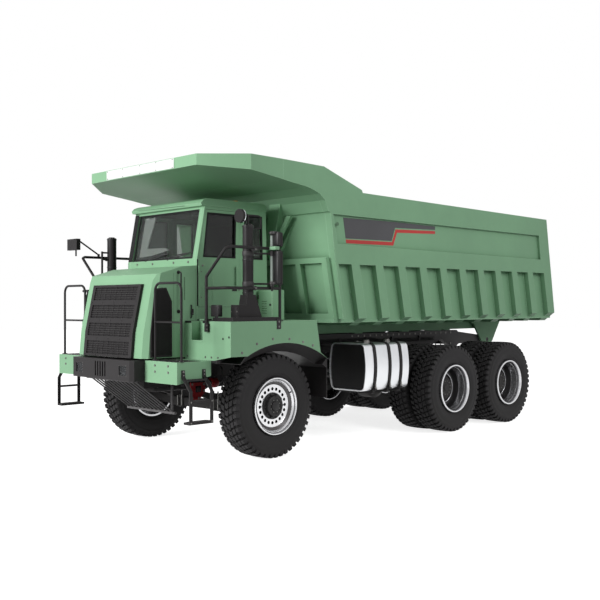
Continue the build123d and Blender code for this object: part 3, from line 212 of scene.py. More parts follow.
    def bar(self, points, radius, bend=0.05, sides=12, paint=0):
        """A rigid round bar or pipe along straight runs, with a bend of a given radius at each corner."""
        points = [self.at(point) for point in points]
        line = [points[0]]
        for before, corner, after in zip(points, points[1:], points[2:]):
            back, ahead = (before - corner).normalized(), (after - corner).normalized()
            reach = min(bend / math.tan(back.angle(ahead) / 2), (before - corner).length * 0.45,
                        (after - corner).length * 0.45)
            for step in range(7):
                first, last = corner + back * reach * (1 - step / 6), corner + ahead * reach * step / 6
                line.append(first.lerp(last, step / 6))
        line.append(points[-1])
        across = (line[1] - line[0]).orthogonal().normalized()
        rings = []
        for index, point in enumerate(line):
            along = (line[min(index + 1, len(line) - 1)] - line[max(index - 1, 0)]).normalized()
            across = (across - along * across.dot(along)).normalized()
            beside = along.cross(across)
            rings.append([point + (across * cos + beside * sin) * radius for sin, cos in circle(sides)])
        self.bridge(rings, paint, caps=paint)

    def chequer(self, x, y, z, half_x, degrees, paint=0):
        """One short raised bar of a chequered plate, turned about the vertical."""
        self.box((x - half_x, y - 0.004, z), (x + half_x, y + 0.004, z + 0.0025), 0.0008, paint,
                 turned(degrees, "Z"))

    def done(self, name, materials, body="chassis", smooth_below=35):
        """The finished piece, moved from stations to the frame's origin."""
        bmesh.ops.translate(self.bm, verts=self.bm.verts, vec=(0, station_0, 0))
        bmesh.ops.recalc_face_normals(self.bm, faces=self.bm.faces)
        mesh = bpy.data.meshes.new(name)
        self.bm.to_mesh(mesh)
        self.bm.free()
        shade(mesh, smooth_below)
        return add_object(name, mesh, materials, body)


def node_box(name):
    """A node's low and high corner in stations."""
    low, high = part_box(name)
    away = Vector((0, station_0, 0))
    return low - away, high - away


# Material tools
def fill(node, inputs):
    """Sets a node's inputs, by name or number, to values or links them to sockets."""
    for key, value in inputs.items():
        if isinstance(value, bpy.types.NodeSocket):
            node.id_data.links.new(value, node.inputs[key])
        else:
            node.inputs[key].default_value = value


def adder(tree):
    """A short way to add a node to a tree, which gives back one of its outputs."""
    def add(kind, inputs=None, output=0, **settings):
        node = tree.nodes.new("ShaderNode" + kind)
        for key, value in settings.items():
            setattr(node, key, value)
        fill(node, inputs or {})
        return node.outputs[output]
    return add


def new_material(name):
    """A new material with its shader, a short way to add nodes, and the place on the object."""
    material = bpy.data.materials.new(name)
    material.use_nodes = True
    add = adder(material.node_tree)
    return material, material.node_tree.nodes["Principled BSDF"], add, add("TexCoord", output="Object")


def sRGB(tone):
    """A linear colour from the six hexadecimal digits that a picture shows."""
    def linear(value):
        value /= 255
        return value / 12.92 if value <= 0.04045 else ((value + 0.055) / 1.055) ** 2.4
    return (*(linear(int(tone[digit:digit + 2], 16)) for digit in (0, 2, 4)), 1.0)


def remap(add, source, low, high, to_low, to_high):
    """A value that follows another one from one range to a second range."""
    return add("MapRange", {"Value": source, "From Min": low, "From Max": high, "To Min": to_low,
                            "To Max": to_high}, "Result")


def mixed(add, factor, tone, colour):
    """A tone that gives way to a fixed colour as the factor grows."""
    return add("Mix", {"Factor": factor, "A": tone, "B": sRGB(colour)}, "Result", data_type="RGBA")


def noise(add, place, scale, detail, roughness=0.5):
    return add("TexNoise", {"Vector": place, "Scale": scale, "Detail": detail, "Roughness": roughness}, "Fac")


def product(add, first, second):
    return add("Math", {0: first, 1: second}, operation="MULTIPLY")


def two_tone(add, factor, first, second, low=0.0, high=1.0):
    """A colour that goes from a first to a second one while the factor goes from low to high."""
    tone = add("ValToRGB", {"Fac": factor}, "Color")
    for element, position, colour in zip(tone.node.color_ramp.elements, (low, high), (first, second)):
        element.position = position
        element.color = sRGB(colour)
    return tone


def surface(name, colour, dark, roughness, metal=0.0, bump=0.0006, bump_scale=160.0, coat=0.0, edge=None,
            edge_width=0.006, spread=0.12, dust=None, painted_corner_shade=None, specular=0.5, streak=0.0):
    """A painted or moulded surface: two near tones in soft patches, uneven gloss, fine bump, edges that are
    lighter partly from wear and partly as a painted highlight, painted shade in inner corners, rain streaks,
    and dust that has settled low down."""
    material, shader, add, place = new_material(name)
    patches = noise(add, place, 0.8, 5.0, 0.6)
    tone = two_tone(add, patches, dark, colour, 0.35, 0.65)
    if streak:
        runs = noise(add, add("Mapping", {"Vector": place, "Scale": (22, 22, 0.7)}), 1.0, 3.0)
        tone = mixed(add, remap(add, runs, 0.5, 0.8, 0.0, streak), tone, dark)
    # Painted shade: the colour darkens in inner corners and under close parts, where ambient occlusion finds them.
    if painted_corner_shade is not None:
        corners = add("AmbientOcclusion", {"Distance": 0.12}, "AO", samples=4, only_local=True)
        tone = mixed(add, remap(add, corners, 0.85, 0.25, 0.0, 0.75), tone, painted_corner_shade)
    # Edges lighter in patches: partly worn paint, partly a painted highlight along the folds.
    if edge is not None:
        rounded = add("Bevel", {"Radius": edge_width}, "Normal", samples=4)
        facing = add("VectorMath", {0: rounded, 1: add("NewGeometry", output="Normal")}, "Value",
                     operation="DOT_PRODUCT")
        wear_and_highlight = product(add, remap(add, facing, 0.999, 0.9, 0.0, 1.0), noise(add, place, 40.0, 3.0))
        tone = mixed(add, wear_and_highlight, tone, edge)
    if dust is not None:
        top, most = dust
        low_down = remap(add, add("SeparateXYZ", {"Vector": place}, "Z"), top, 0.0, 0.0, most)
        tone = mixed(add, product(add, low_down, patches), tone, DUST)
    relief = noise(add, place, bump_scale, 2.0)
    fill(shader, {
        "Base Color": tone,
        "Roughness": remap(add, patches, 0.3, 0.7, roughness - spread / 2, roughness + spread / 2),
        "Normal": add("Bump", {"Height": relief, "Strength": 0.5, "Distance": bump}),
        "Metallic": metal, "Specular IOR Level": specular, "Coat Weight": coat, "Coat Roughness": 0.25})
    return material


# The wave texture's scale that gives one band per metre
band_scale = 0.31416


def bands(add, place, direction, pitch, distortion=0.0):
    """Parallel bands across a direction."""
    return add("TexWave", {"Vector": place, "Scale": band_scale / pitch, "Distortion": distortion}, "Fac",
               wave_type="BANDS", bands_direction=direction)


def woven_wire(name, across, hole):
    """Sheet metal punched with a fine square grid, seen as dark holes between lighter wires."""
    material, shader, add, place = new_material(name)
    most = add("Math", {0: bands(add, place, across, 0.011), 1: bands(add, place, "Z", 0.011)},
               operation="MINIMUM")
    hollow = remap(add, most, 0.35, 0.5, 0.0, 1.0)
    fill(shader, {
        "Base Color": two_tone(add, hollow, "222021", hole),
        "Roughness": remap(add, hollow, 0.0, 1.0, 0.4, 0.9),
        "Specular IOR Level": 0.15,
        "Normal": add("Bump", {"Height": hollow, "Strength": 0.9, "Distance": 0.003}, invert=True)})
    return material


def glass(name, colour, roughness, transmission, ior):
    """Window or lens glass with faint smears."""
    material, shader, add, place = new_material(name)
    smears = remap(add, noise(add, place, 3.0, 6.0), 0.3, 0.8, roughness, roughness + 0.06)
    fill(shader, {"Roughness": smears, "Base Color": sRGB(colour), "Transmission Weight": transmission,
                  "IOR": ior})
    return material


def cloth_weave(name, colour, dark, pitch):
    """Upholstery with a fine weave, a soft nap and faint wear."""
    material, shader, add, place = new_material(name)
    threads = product(add, bands(add, place, "X", pitch, 0.6), bands(add, place, "Z", pitch, 0.6))
    wear = noise(add, place, 7.0, 4.0)
    fill(shader, {
        "Base Color": two_tone(add, wear, dark, colour, 0.35, 0.7),
        "Normal": add("Bump", {"Height": threads, "Strength": 0.6, "Distance": 0.0012}),
        "Roughness": remap(add, wear, 0.3, 0.7, 0.78, 0.92), "Sheen Weight": 0.35, "Sheen Roughness": 0.5})
    return material


DUST = "969288"

# In these surfaces the edge colour lightens edges partly as wear and partly as a painted highlight, and the colour
# given for inner corners is painted shade.
green = surface("green_paint", "88b48f", "81ab88", 0.50, edge="b6debc", edge_width=0.009, dust=(1.6, 0.12),
                painted_corner_shade="36583c", specular=0.18, streak=0.25)
deep_green = surface("deep_green_paint", "4a6e50", "426548", 0.5, edge="789c7c")
dark = surface("dark_paint", "2c2a2b", "232122", 0.45, edge="585656", dust=(1.2, 0.06), painted_corner_shade="0e0e0e",
               specular=0.14)
guard_grey = surface("guard_grey", "605e5f", "4e4c4d", 0.45, edge="8c8a8a", painted_corner_shade="141414", specular=0.3)
grey = surface("frame_grey", "3c3a3b", "302e2f", 0.5, edge="686565", dust=(1.4, 0.10), painted_corner_shade="121212",
               specular=0.25)
cast = surface("cast_metal", "2e2d2e", "222122", 0.6, metal=0.2, bump=0.0016, bump_scale=90, dust=(1.3, 0.14),
               painted_corner_shade="0e0e0e", specular=0.25)
rubber = surface("tyre_rubber", "2e2d2e", "242324", 0.7, bump=0.0012, bump_scale=220, spread=0.2,
                 dust=(1.0, 0.04), painted_corner_shade="0c0c0c", specular=0.2)
tread = surface("tread_rubber", "3a393a", "2e2d2e", 0.75, bump=0.0016, bump_scale=150, spread=0.15,
                edge="605f5f", edge_width=0.004, painted_corner_shade="0c0c0c", specular=0.2)
seal = surface("seal_rubber", "1a1a1b", "141415", 0.6, bump=0.0005, bump_scale=300, specular=0.15)
silver = surface("rim_silver", "d6d6d8", "c6c6c9", 0.25, metal=0.9, bump=0.0003, spread=0.08)
satin = surface("rim_satin", "545253", "464546", 0.36, metal=0.6, bump=0.0005)
pale = surface("pale_tube", "8c9890", "7e8a82", 0.4, bump=0.0004)
aluminium = surface("tank_aluminium", "e0e1e3", "ced0d3", 0.36, metal=0.95, bump=0.0004, bump_scale=60,
                    spread=0.1)
black = surface("hub_black", "201f20", "181718", 0.38, bump=0.0005, edge="545354", edge_width=0.003,
                specular=0.25)
chrome = surface("polished_rod", "d7d8da", "cdced1", 0.12, metal=1.0, bump=0.0001)
zinc = surface("zinc_bolt", "807f7c", "686765", 0.4, metal=0.7, bump=0.0003)
plastic = surface("dash_plastic", "383739", "2f2e30", 0.6, bump=0.0008, bump_scale=320)
trim_grey = surface("trim_plastic", "7e7d7d", "706f70", 0.6, bump_scale=320)
screen_trim = surface("screen_trim", "d6d4d5", "c8c6c7", 0.6, bump_scale=320)
fabric = cloth_weave("seat_fabric", "7e807f", "686a69", 0.0035)
red = surface("red_paint", "c42822", "b2201c", 0.4)
deep_red = surface("deep_red_paint", "8c1016", "700a10", 0.45)
white = surface("white_paint", "e8eae8", "dee1df", 0.42)
charcoal = surface("decal_charcoal", "3e3e42", "36363a", 0.4)
amber = surface("amber_lens", "d6821e", "c46e16", 0.2, coat=0.4)
red_lens = surface("red_lens", "aa1816", "961212", 0.2, coat=0.4)
front_wire = woven_wire("grille_wire", "X", "060606")
side_wire = woven_wire("side_grille_wire", "Y", "080808")
window = glass("window_glass", "b2b8b4", 0.02, 0.97, ior=1.16)
door_window = glass("door_window_glass", "424744", 0.02, 0.95, ior=1.36)
lens = glass("lamp_glass", "787c80", 0.03, 0.9, ior=1.2)
mirror = surface("mirror_glass", "e4e8ea", "dee2e5", 0.05, metal=1.0, bump=0.00005, spread=0.02)

by_slot = {"green_paint": green, "dark_paint": dark, "frame_grey": grey, "cast_metal": cast,
           "tyre_rubber": rubber, "rim_silver": silver, "polished_rod": chrome, "window_glass": window,
           "lamp_glass": lens, "seat_fabric": fabric, "dash_plastic": plastic}
# Nodes whose paint differs from the rest of their slot
by_node = {"bumper_centre": dark, "underguard": guard_grey, "door_glass_left": door_window,
           "door_glass_right": door_window}


def dress_nodes():
    """Each CAD node takes its own material or else its slot's."""
    for part in frame["record"]["subparts"]:
        mesh = frame["nodes"][part["node"]].data
        mesh.materials.clear()
        mesh.materials.append(by_node.get(part["node"], by_slot[part["material_slot"]]))
        shade(mesh, 28)


# Tyres: a carcass with raised rings on its sides, and five rows of blocks
TYRE_SIDE = ((0.165, 0.4095), (0.178, 0.424), (0.196, 0.452), (0.199, 0.468), (0.2045, 0.4725),
             (0.207, 0.500), (0.2135, 0.530), (0.2145, 0.556), (0.213, 0.600), (0.2085, 0.634),
             (0.2105, 0.640), (0.2075, 0.650), (0.204, 0.668), (0.199, 0.682), (0.192, 0.694),
             (0.180, 0.7035), (0.150, 0.7090), (0.075, 0.7115), (0, 0.712))
tread_count = 46
base_r = 0.704
# Rows of tread blocks: inner and outer x, half length, shift round the tyre as a share of a block, and slant
TREAD_ROWS = ((0.050, 0.112, 0.0365, 0.33, 0.013), (0.127, 0.190, 0.0300, 0.66, 0.008))
# The middle row's blocks are arrows: half width, half length and how far the tip leads
arrow_x, arrow_long, arrow = 0.036, 0.037, 0.011


def tread_block(outline, shoulder=False):
    """A block's points and faces, from its outline of (x, arc) corners: a foot, an edge and a flat top."""
    count = len(outline)
    middle_x = sum(x for x, _ in outline) / count
    middle_arc = sum(arc for _, arc in outline) / count
    outer = max(abs(x) for x, _ in outline)
    points = []
    for ring in range(3):
        for x, arc in outline:
            top_r = tyre_r - 0.0002 - 0.006 * (x / 0.187) ** 2
            if ring == 2:
                x, arc = middle_x + (x - middle_x) * 0.86, middle_arc + (arc - middle_arc) * 0.86
            radius = (base_r, top_r - 0.006, top_r)[ring]
            if shoulder and abs(x) == outer and ring < 2:
                outer_edge, radius = ((0.2030, 0.676), (0.1985, 0.722))[ring]
                x = math.copysign(outer_edge, x)
            points.append((x, radius * math.sin(arc / tyre_r), radius * math.cos(arc / tyre_r)))
    faces = [tuple(range(2 * count, 3 * count))]
    for foot in (0, count):
        for point in range(count):
            after = (point + 1) % count
            faces.append((foot + point, foot + after, foot + count + after, foot + count + point))
    return points, faces


def tyre_mesh():
    """One tyre round the origin: carcass in the first material, blocks in the second."""
    it = Shape()
    it.ring(list(TYRE_SIDE) + [(-x, r) for x, r in reversed(TYRE_SIDE[:-1])], (0, 0, 0), 120)
    half, long = arrow_x, arrow_long
    blocks = [tread_block([(-half, -long + arrow), (0, -long - arrow), (half, -long + arrow),
                           (half, long + arrow), (0, long - arrow), (-half, long + arrow)])]
    pitch = 2 * math.pi * tyre_r / tread_count
    for low_x, high_x, half, shift, slant in TREAD_ROWS:
        for side in (1, -1):
            away = pitch * (shift if side > 0 else 1 - shift)
            blocks.append(tread_block([
                (side * low_x, away - half - slant), (side * high_x, away - half + slant),
                (side * high_x, away + half + slant), (side * low_x, away + half - slant)],
                shoulder=high_x > 0.18))
    for step in range(tread_count):
        turn = turned(-360 * step / tread_count, "X")
        for points, faces in blocks:
            made = [it.bm.verts.new(turn @ Vector(point)) for point in points]
            for face in faces:
                it.bm.faces.new([made[index] for index in face]).material_index = 1
    mesh = bpy.data.meshes.new("tyre_base")
    it.bm.to_mesh(mesh)
    it.bm.free()
    return mesh


# Each wheel set's tyre node, rim node, body, station and the x of its tyres on the left side
WHEELS = (("front_tyre", "front_rim", "front_wheel", 0.0, (front_x,)),
          ("mid_tyres", "mid_rim", "mid_wheels", mid_y, (outer_x, inner_x)),
          ("rear_tyres", "rear_rim", "rear_wheels", rear_y, (outer_x, inner_x)))


def make_tyres():
    base = tyre_mesh()
    for node, _, body, y, places in WHEELS:
        for side, sign in SIDES.items():
            it = Shape()
            for x in places:
                start = len(it.bm.verts)
                it.bm.from_mesh(base)
                it.bm.verts.ensure_lookup_table()
                bmesh.ops.translate(it.bm, verts=it.bm.verts[start:], vec=(sign * x, y, axle_z))
            tyre = it.done(f"{node}_{side}_treaded", (rubber, tread), f"{body}_{side}", 32)
            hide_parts(f"{node}_{side}")
    bpy.data.meshes.remove(base)


# Rims
def holed_ring(it, centre, x, low_r, high_r, hole_at, hole_r, count, depth):
    """A flat ring across X with round holes that have walls so deep."""
    half = math.pi / count
    middle_r, half_r = (low_r + high_r) / 2, (high_r - low_r) / 2

    def put(across, radius, angle):
        return it.bm.verts.new(it.at((centre[0] + across, centre[1] + radius * math.sin(angle),
                                      centre[2] + radius * math.cos(angle))))

    for hole in range(count):
        turn = 2 * half * hole
        edge, rim, deep = [], [], []
        for sin, cos in circle(16):
            most = max(abs(cos), abs(sin))
            edge.append(put(x, middle_r + half_r * sin / most, turn + half * cos / most))
            angle, radius = turn + hole_r * cos / hole_at, hole_at + hole_r * sin
            rim.append(put(x, radius, angle))
            deep.append(put(x - depth, radius, angle))
        for outer, inner, paint in ((edge, rim, 0), (rim, deep, 2)):
            for step in range(16):
                after = (step + 1) % 16
                it.bm.faces.new((outer[step], outer[after], inner[after], inner[step])).material_index = paint
    bmesh.ops.remove_doubles(it.bm, verts=it.bm.verts, dist=0.00005)


BARREL = ((-0.165, 0.374), (0.150, 0.374), (0.185, 0.378), (0.214, 0.386), (0.2235, 0.392), (0.225, 0.398),
          (0.2235, 0.405), (0.217, 0.4088), (0.200, 0.4088), (0.176, 0.406), (0.170, 0.400), (-0.165, 0.400))


def nut_ring(it, centre, x, radius, count, size, stud, paint):
    """Nuts on studs round a hub."""
    for sin, cos in circle(count, math.pi / count):
        x0, y, z = centre[0] + x, centre[1] + radius * sin, centre[2] + radius * cos
        it.rod((x0, y, z), (x0 + size * 1.1, y, z), size, 6, paint, bevel=0.0015)
        it.rod((x0, y, z), (x0 + stud, y, z), size * 0.55, 10, paint)


def front_rim(it, x, y):
    centre = (x, y, axle_z)
    for paint, profile in (
            (0, BARREL),
            (0, [(0.196, 0.3745), (0.196, 0.371), (0.176, 0.352), (0.168, 0.349), (0.160, 0.351),
                 (0.158, 0.3745)]),
            (1, [(0.164, 0.352), (0.150, 0.330), (0.136, 0.316), (0.130, 0.302), (0.112, 0.302),
                 (0.112, 0.352)]),
            (0, [(0.140, 0.306), (0.136, 0.2975), (0.112, 0.2975), (0.112, 0.306)])):
        it.ring(profile, centre, paint=paint)
    holed_ring(it, centre, 0.1355, 0.190, 0.2975, 0.2430, 0.0240, 20, 0.03)
    it.ring([(0.106, 0.300), (0.106, 0.180), (0.100, 0.180), (0.100, 0.300)], centre, paint=2)
    it.disc([(0.06, 0), (0.06, 0.192), (0.146, 0.192), (0.152, 0.189), (0.156, 0.184), (0.156, 0.156),
             (0.176, 0.150), (0.194, 0.143), (0.199, 0.135), (0.199, 0.112), (0.191, 0.108), (0.191, 0.072),
             (0.206, 0.066), (0.210, 0.058), (0.210, 0)], centre, 72, 2)
    nut_ring(it, centre, 0.156, 0.170, 10, 0.0130, 0.026, 2)
    nut_ring(it, centre, 0.191, 0.090, 8, 0.0085, 0.012, 3)
    it.rod((x + 0.15, y + 0.30, axle_z + 0.17), (x + 0.205, y + 0.31, axle_z + 0.175), 0.007, 10, 2)


def rear_rim(it, y):
    for x, way in ((outer_x, 1), (inner_x, -1)):
        it.ring([(way * u, r) for u, r in BARREL], (x, y, axle_z))
    outer, inner = (outer_x, y, axle_z), (inner_x, y, axle_z)
    for centre, paint, profile in (
            (outer, 0, [(0.150, 0.3745), (0.144, 0.366), (0.060, 0.362), (0.020, 0.360), (0.020, 0.3745)]),
            (outer, 2, [(0.030, 0.362), (-0.020, 0.345), (-0.060, 0.330), (-0.080, 0.300), (-0.085, 0.232),
                        (-0.105, 0.232), (-0.100, 0.305), (-0.075, 0.345), (-0.010, 0.368)]),
            (outer, 0, [(-0.098, 0.262), (-0.040, 0.266), (-0.030, 0.260), (-0.030, 0.249), (-0.098, 0.249)]),
            (outer, 0, [(0.2235, 0.392), (0.206, 0.384), (0.176, 0.3775), (0.150, 0.3735), (0.150, 0.366),
                        (0.180, 0.369), (0.212, 0.376), (0.2255, 0.385)]),
            (inner, 2, [(-0.020, 0.375), (0.060, 0.350), (0.100, 0.300), (0.105, 0.232), (0.085, 0.232),
                        (0.080, 0.295), (0.045, 0.338), (-0.030, 0.368)])):
        it.ring(profile, centre, paint=paint)
    nut_ring(it, outer, -0.084, 0.262, 20, 0.0145, 0.028, 2)
    it.disc([(-0.648, 0), (-0.648, 0.228), (-0.640, 0.235), (-0.500, 0.235), (-0.495, 0.243), (-0.440, 0.243),
             (-0.435, 0.235), (-0.100, 0.235), (-0.078, 0.220), (-0.072, 0.196), (-0.010, 0.190),
             (0.004, 0.182), (0.010, 0.168), (0.010, 0.150), (0.018, 0.146), (0.018, 0)], outer, 72, 4)
    nut_ring(it, outer, 0.018, 0.118, 12, 0.0095, 0.013, 3)
    it.disc([(0.010, 0), (0.010, 0.062), (0.028, 0.058), (0.033, 0.050), (0.033, 0)], outer, 40, 4)
    for sin, cos in circle(24):
        out = Vector((0, sin, cos))
        start = Vector((outer_x - 0.43, y, axle_z)) + out * 0.236
        it.strip([start, start + Vector((0.30, 0, 0))], out, 0.010, 0.008, 4)


def make_rims():
    for _, node, body, y, _ in WHEELS:
        for side, sign in SIDES.items():
            it = Shape(sign)
            if node == "front_rim":
                front_rim(it, front_x, y)
            else:
                rear_rim(it, y)
            rim = it.done(f"{node}_{side}_detailed", (silver, satin, black, zinc, cast), f"{body}_{side}",
                          30)
            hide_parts(f"{node}_{side}")


# Tanks
def tank_section(low, high, radius, bulge):
    """A tank's outline across Y as (x, z, out x, out z) points: round corners, and sides that swell by up to
    the bulge. Out is the way that a band round the tank stands off."""
    (low_x, low_z), (high_x, high_z) = low, high
    middle_x, middle_z = (low_x + high_x) / 2, (low_z + high_z) / 2
    line = []
    for x_side, z_side, start in ((1, 1, 0), (-1, 1, 90), (-1, -1, 180), (1, -1, 270)):
        centre_x = (high_x if x_side > 0 else low_x) - x_side * (radius + bulge)
        centre_z = (high_z if z_side > 0 else low_z) - z_side * radius
        for step in range(7):
            angle = math.radians(start + 15 * step)
            cos, sin = math.cos(angle), math.sin(angle)
            line.append((centre_x + radius * cos, centre_z + radius * sin, cos, sin))
        if start in (90, 270):
            first_z, last_z = high_z - radius, low_z + radius
            if start == 270:
                first_z, last_z = last_z, first_z
            for step in range(1, 8):
                z = first_z + (last_z - first_z) * step / 8
                line.append((centre_x + x_side * radius, z, x_side, 0.0))
    half_z = (high_z - low_z) / 2 - radius
    swollen = []
    for x, z, out_x, out_z in line:
        share = 1 - min(1.0, abs(z - middle_z) / half_z) ** 2
        x += math.copysign(bulge * share, x - middle_x) * (abs(out_x) > 0.9)
        swollen.append((x, z, out_x, out_z))
    return swollen


def section_rings(section, stations):
    """The section at each (y, how far it stands off there)."""
    return [[(x + out_x * off, y, z + out_z * off) for x, z, out_x, out_z in section] for y, off in stations]


def section_shell(it, section, front, rear, ends, end_paint=0):
    """A closed body from one section. Its ends are (y from the end, how far the section draws in there)."""
    stations = [(front + y, -inset) for y, inset in ends] + [(rear - y, -inset) for y, inset in ends[::-1]]
    it.bridge(section_rings(section, stations), caps=end_paint)


def section_band(it, section, y, half, stand, paint=0, lip=0.0):
    """A band round a section, standing off it, with lips along its edges if asked."""
    edge = [(-half, 0.0), (-half, stand + lip), (-half + 0.008, stand + lip), (-half + 0.008, stand)]
    profile = edge + [(-away, off) for away, off in edge[::-1]]
    it.bridge(section_rings(section, [(y + away, off) for away, off in profile]), paint, loop=True)


def make_fuel_tank():
    """The bright tank: a swollen shell with a recessed front, dark straps on rubber, caps and a sender."""
    low, high = node_box("fuel_tank")
    foot, side, front, top = low.z, high.x, low.y, high.z
    section = tank_section((low.x, foot + 0.075), (side, top), 0.095, 0.030)
    it = Shape()
    # The shell's ends are capped in hub black (paint 4): a painted dark reflection on the bright tank's ends.
    section_shell(it, section, front, high.y, [(0.022, 0.022), (0, 0.020), (0, 0.006), (0.008, 0.0)], 4)
    for y in (front + 0.23, front + 0.588, front + 0.868):
        section_band(it, section, y, 0.036, 0.006, 1)
        section_band(it, section, y, 0.027, 0.010, 2, lip=0.001)
        it.post(side + 0.002, y, foot + 0.19, foot + 0.115, 0.011, 10, 3)
        it.post(side + 0.002, y, foot + 0.14, foot + 0.128, 0.019, 6, 3)
        it.box((side - 0.052, y - 0.028, foot + 0.085), (side + 0.010, y + 0.028, foot + 0.118), 0.004, 2)
        it.box((low.x - 0.02, y - 0.030, foot + 0.030), (side - 0.05, y + 0.030, foot + 0.068), 0.004, 2)
        it.box((low.x - 0.028, y - 0.030, foot + 0.030), (low.x + 0.004, y + 0.030, top - 0.06), 0.004, 2)
    cap_x = side - 0.17
    for y in (front + 0.20, front + 0.70):
        it.post(cap_x, y, top - 0.004, top + 0.022, 0.060, 28, 3, 0.003)
        it.post(cap_x, y, top + 0.018, top + 0.046, 0.050, 28, 3, 0.006)
        it.box((cap_x - 0.045, y - 0.008, top + 0.040), (cap_x + 0.045, y + 0.008, top + 0.056), 0.004, 3)
    it.post(low.x + 0.2, front + 0.45, top - 0.003, top + 0.014, 0.034, 20, 3, 0.003)
    it.post(side - 0.30, front + 0.54, foot + 0.079, foot + 0.055, 0.022, 6, 3)
    tank = it.done("fuel_tank_strapped", (aluminium, seal, dark, zinc, black),
                   smooth_below=30)
    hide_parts("fuel_tank")


def make_hydraulic_tank():
    """The oil tank on the far side: a painted shell with straps, filler, sight glass and filter heads."""
    low, high = node_box("hydraulic_tank")
    foot, side, front, rear, top = low.z, low.x, low.y, high.y, high.z
    section = tank_section((side, foot), (high.x, top), 0.075, 0.012)
    it = Shape()
    section_shell(it, section, front, rear,
                  [(0.014, 0.04), (0.014, 0.018), (0, 0.016), (0, 0.005), (0.006, 0.0)])
    for y in (front + 0.22, rear - 0.22):
        section_band(it, section, y, 0.030, 0.008, 1, lip=0.001)
    it.post(side + 0.16, front + 0.30, top - 0.003, top + 0.045, 0.055, 28, 2, 0.006)
    for y in (front + 0.50, front + 0.72):
        it.post(side + 0.28, y, top - 0.003, top + 0.030, 0.075, 32, 1, 0.006)
        for sin, cos in circle(6):
            it.bolt((side + 0.28 + 0.062 * cos, y + 0.062 * sin, top + 0.030), (0, 0, 1), 0.006, 0.006, 2)
    it.box((side - 0.006, rear - 0.42, foot + 0.25), (side + 0.016, rear - 0.38, foot + 0.50), 0.003, 2)
    it.post(side - 0.004, rear - 0.40, foot + 0.28, foot + 0.47, 0.008, 12, 3)
    tank = it.done("hydraulic_tank_strapped", (dark, black, zinc, amber), smooth_below=30)
    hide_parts("hydraulic_tank")


# Front of the truck
def grille_slope(z):
    """The station of the grille's outer face at a height."""
    line = ((-1.733, 1.460), (-1.702, 1.807), (-1.556, 2.483))
    (y0, z0), (y1, z1) = line[:2] if z < line[1][1] else line[1:]
    return y0 + (y1 - y0) * (z - z0) / (z1 - z0)


def make_grille():
    """Punched sheet and thin ribs in the grille's four pockets, and punched sheet on the hood's sides."""
    it = Shape()
    half, low_z, high_z, rows = 0.542, 1.460, 2.483, 4
    row_h = (high_z - low_z) / rows
    for row in range(rows):
        low, high = low_z + row * row_h + 0.034, low_z + (row + 1) * row_h - 0.034
        heights = [low] + ([1.807] if low < 1.807 < high else []) + [high]
        it.slab([(grille_slope(z) + 0.0145, z) for z in heights]
                + [(grille_slope(z) + 0.024, z) for z in heights[::-1]], "X", -half, half)
        for step in range(1, 6):
            z = low + (high - low) * step / 6
            y = grille_slope(z) + 0.012
            it.rod((-half, y, z), (half, y, z), 0.0045, 8, 1)
        for step in range(1, 8):
            x = -half + 2 * half * step / 8
            it.strip([(x, grille_slope(z) + 0.0135, z) for z in heights], (0, -1, 0.2), 0.007, 0.005, 1)
    for z in (low_z + 0.017, low_z + row_h, low_z + 2 * row_h, low_z + 3 * row_h, high_z - 0.017):
        for x in (-0.577, -0.29, 0, 0.29, 0.577):
            it.bolt((x, grille_slope(z), z), (0, -1, 0.15), 0.008, 0.006, 1)
    it.done("grille_mesh", (front_wire, dark))
    it = Shape()
    outline = [(-1.572, 1.500), (-1.567, 1.830), (-1.514, 2.290), (-1.480, 2.398), (-1.342, 2.407),
               (-1.257, 2.235), (-1.252, 1.500)]
    frame_line = [(-1.585, 1.482), (-1.580, 1.830), (-1.526, 2.298), (-1.488, 2.414), (-1.333, 2.424),
                  (-1.240, 2.239), (-1.236, 1.482)]
    for _ in it.sides():
        it.slab(outline, "X", 0.878, 0.8815)
        it.strip([(0.8795, y, z) for y, z in frame_line], (1, 0, 0), 0.014, 0.005, 1, closed=True)
        for y, z in ((-1.578, 1.56), (-1.572, 1.90), (-1.245, 1.56), (-1.248, 1.90), (-1.40, 2.42)):
            it.bolt((0.884, y, z), (1, 0, 0), 0.008, 0.005, 1)
    it.done("side_grille_mesh", (side_wire, dark))


def make_headlamps():
    """Square lamp units in the bumper: housing, reflector bowls and the lens that the CAD holds."""
    it = Shape()
    for sign in it.sides():
        x0, x1, low_z, high_z = 0.472, 0.648, 1.217, 1.363
        it.box((x0, -1.7722, low_z), (x1, -1.752, high_z), 0.002)
        for z in (1.2535, 1.3265):
            for x in (x0 + 0.045, x1 - 0.045):
                it.rod((x, -1.7722, z), (x, -1.7735, z), 0.031, 28, 1)
                it.rod((x, -1.7725, z), (x, -1.7765, z), 0.014, 20, 2, end_radius=0.010)
        corners = [(x, -1.822, z) for x, z in ((x0, low_z), (x1, low_z), (x1, high_z), (x0, high_z))]
        it.strip(corners[::sign], (0, -1, 0), 0.016, 0.006, closed=True)
        for x, _, z in corners:
            it.bolt((x, -1.828, z), (0, -1, 0), 0.005, 0.004, 3)
    it.done("headlamp_units", (black, satin, zinc, zinc))


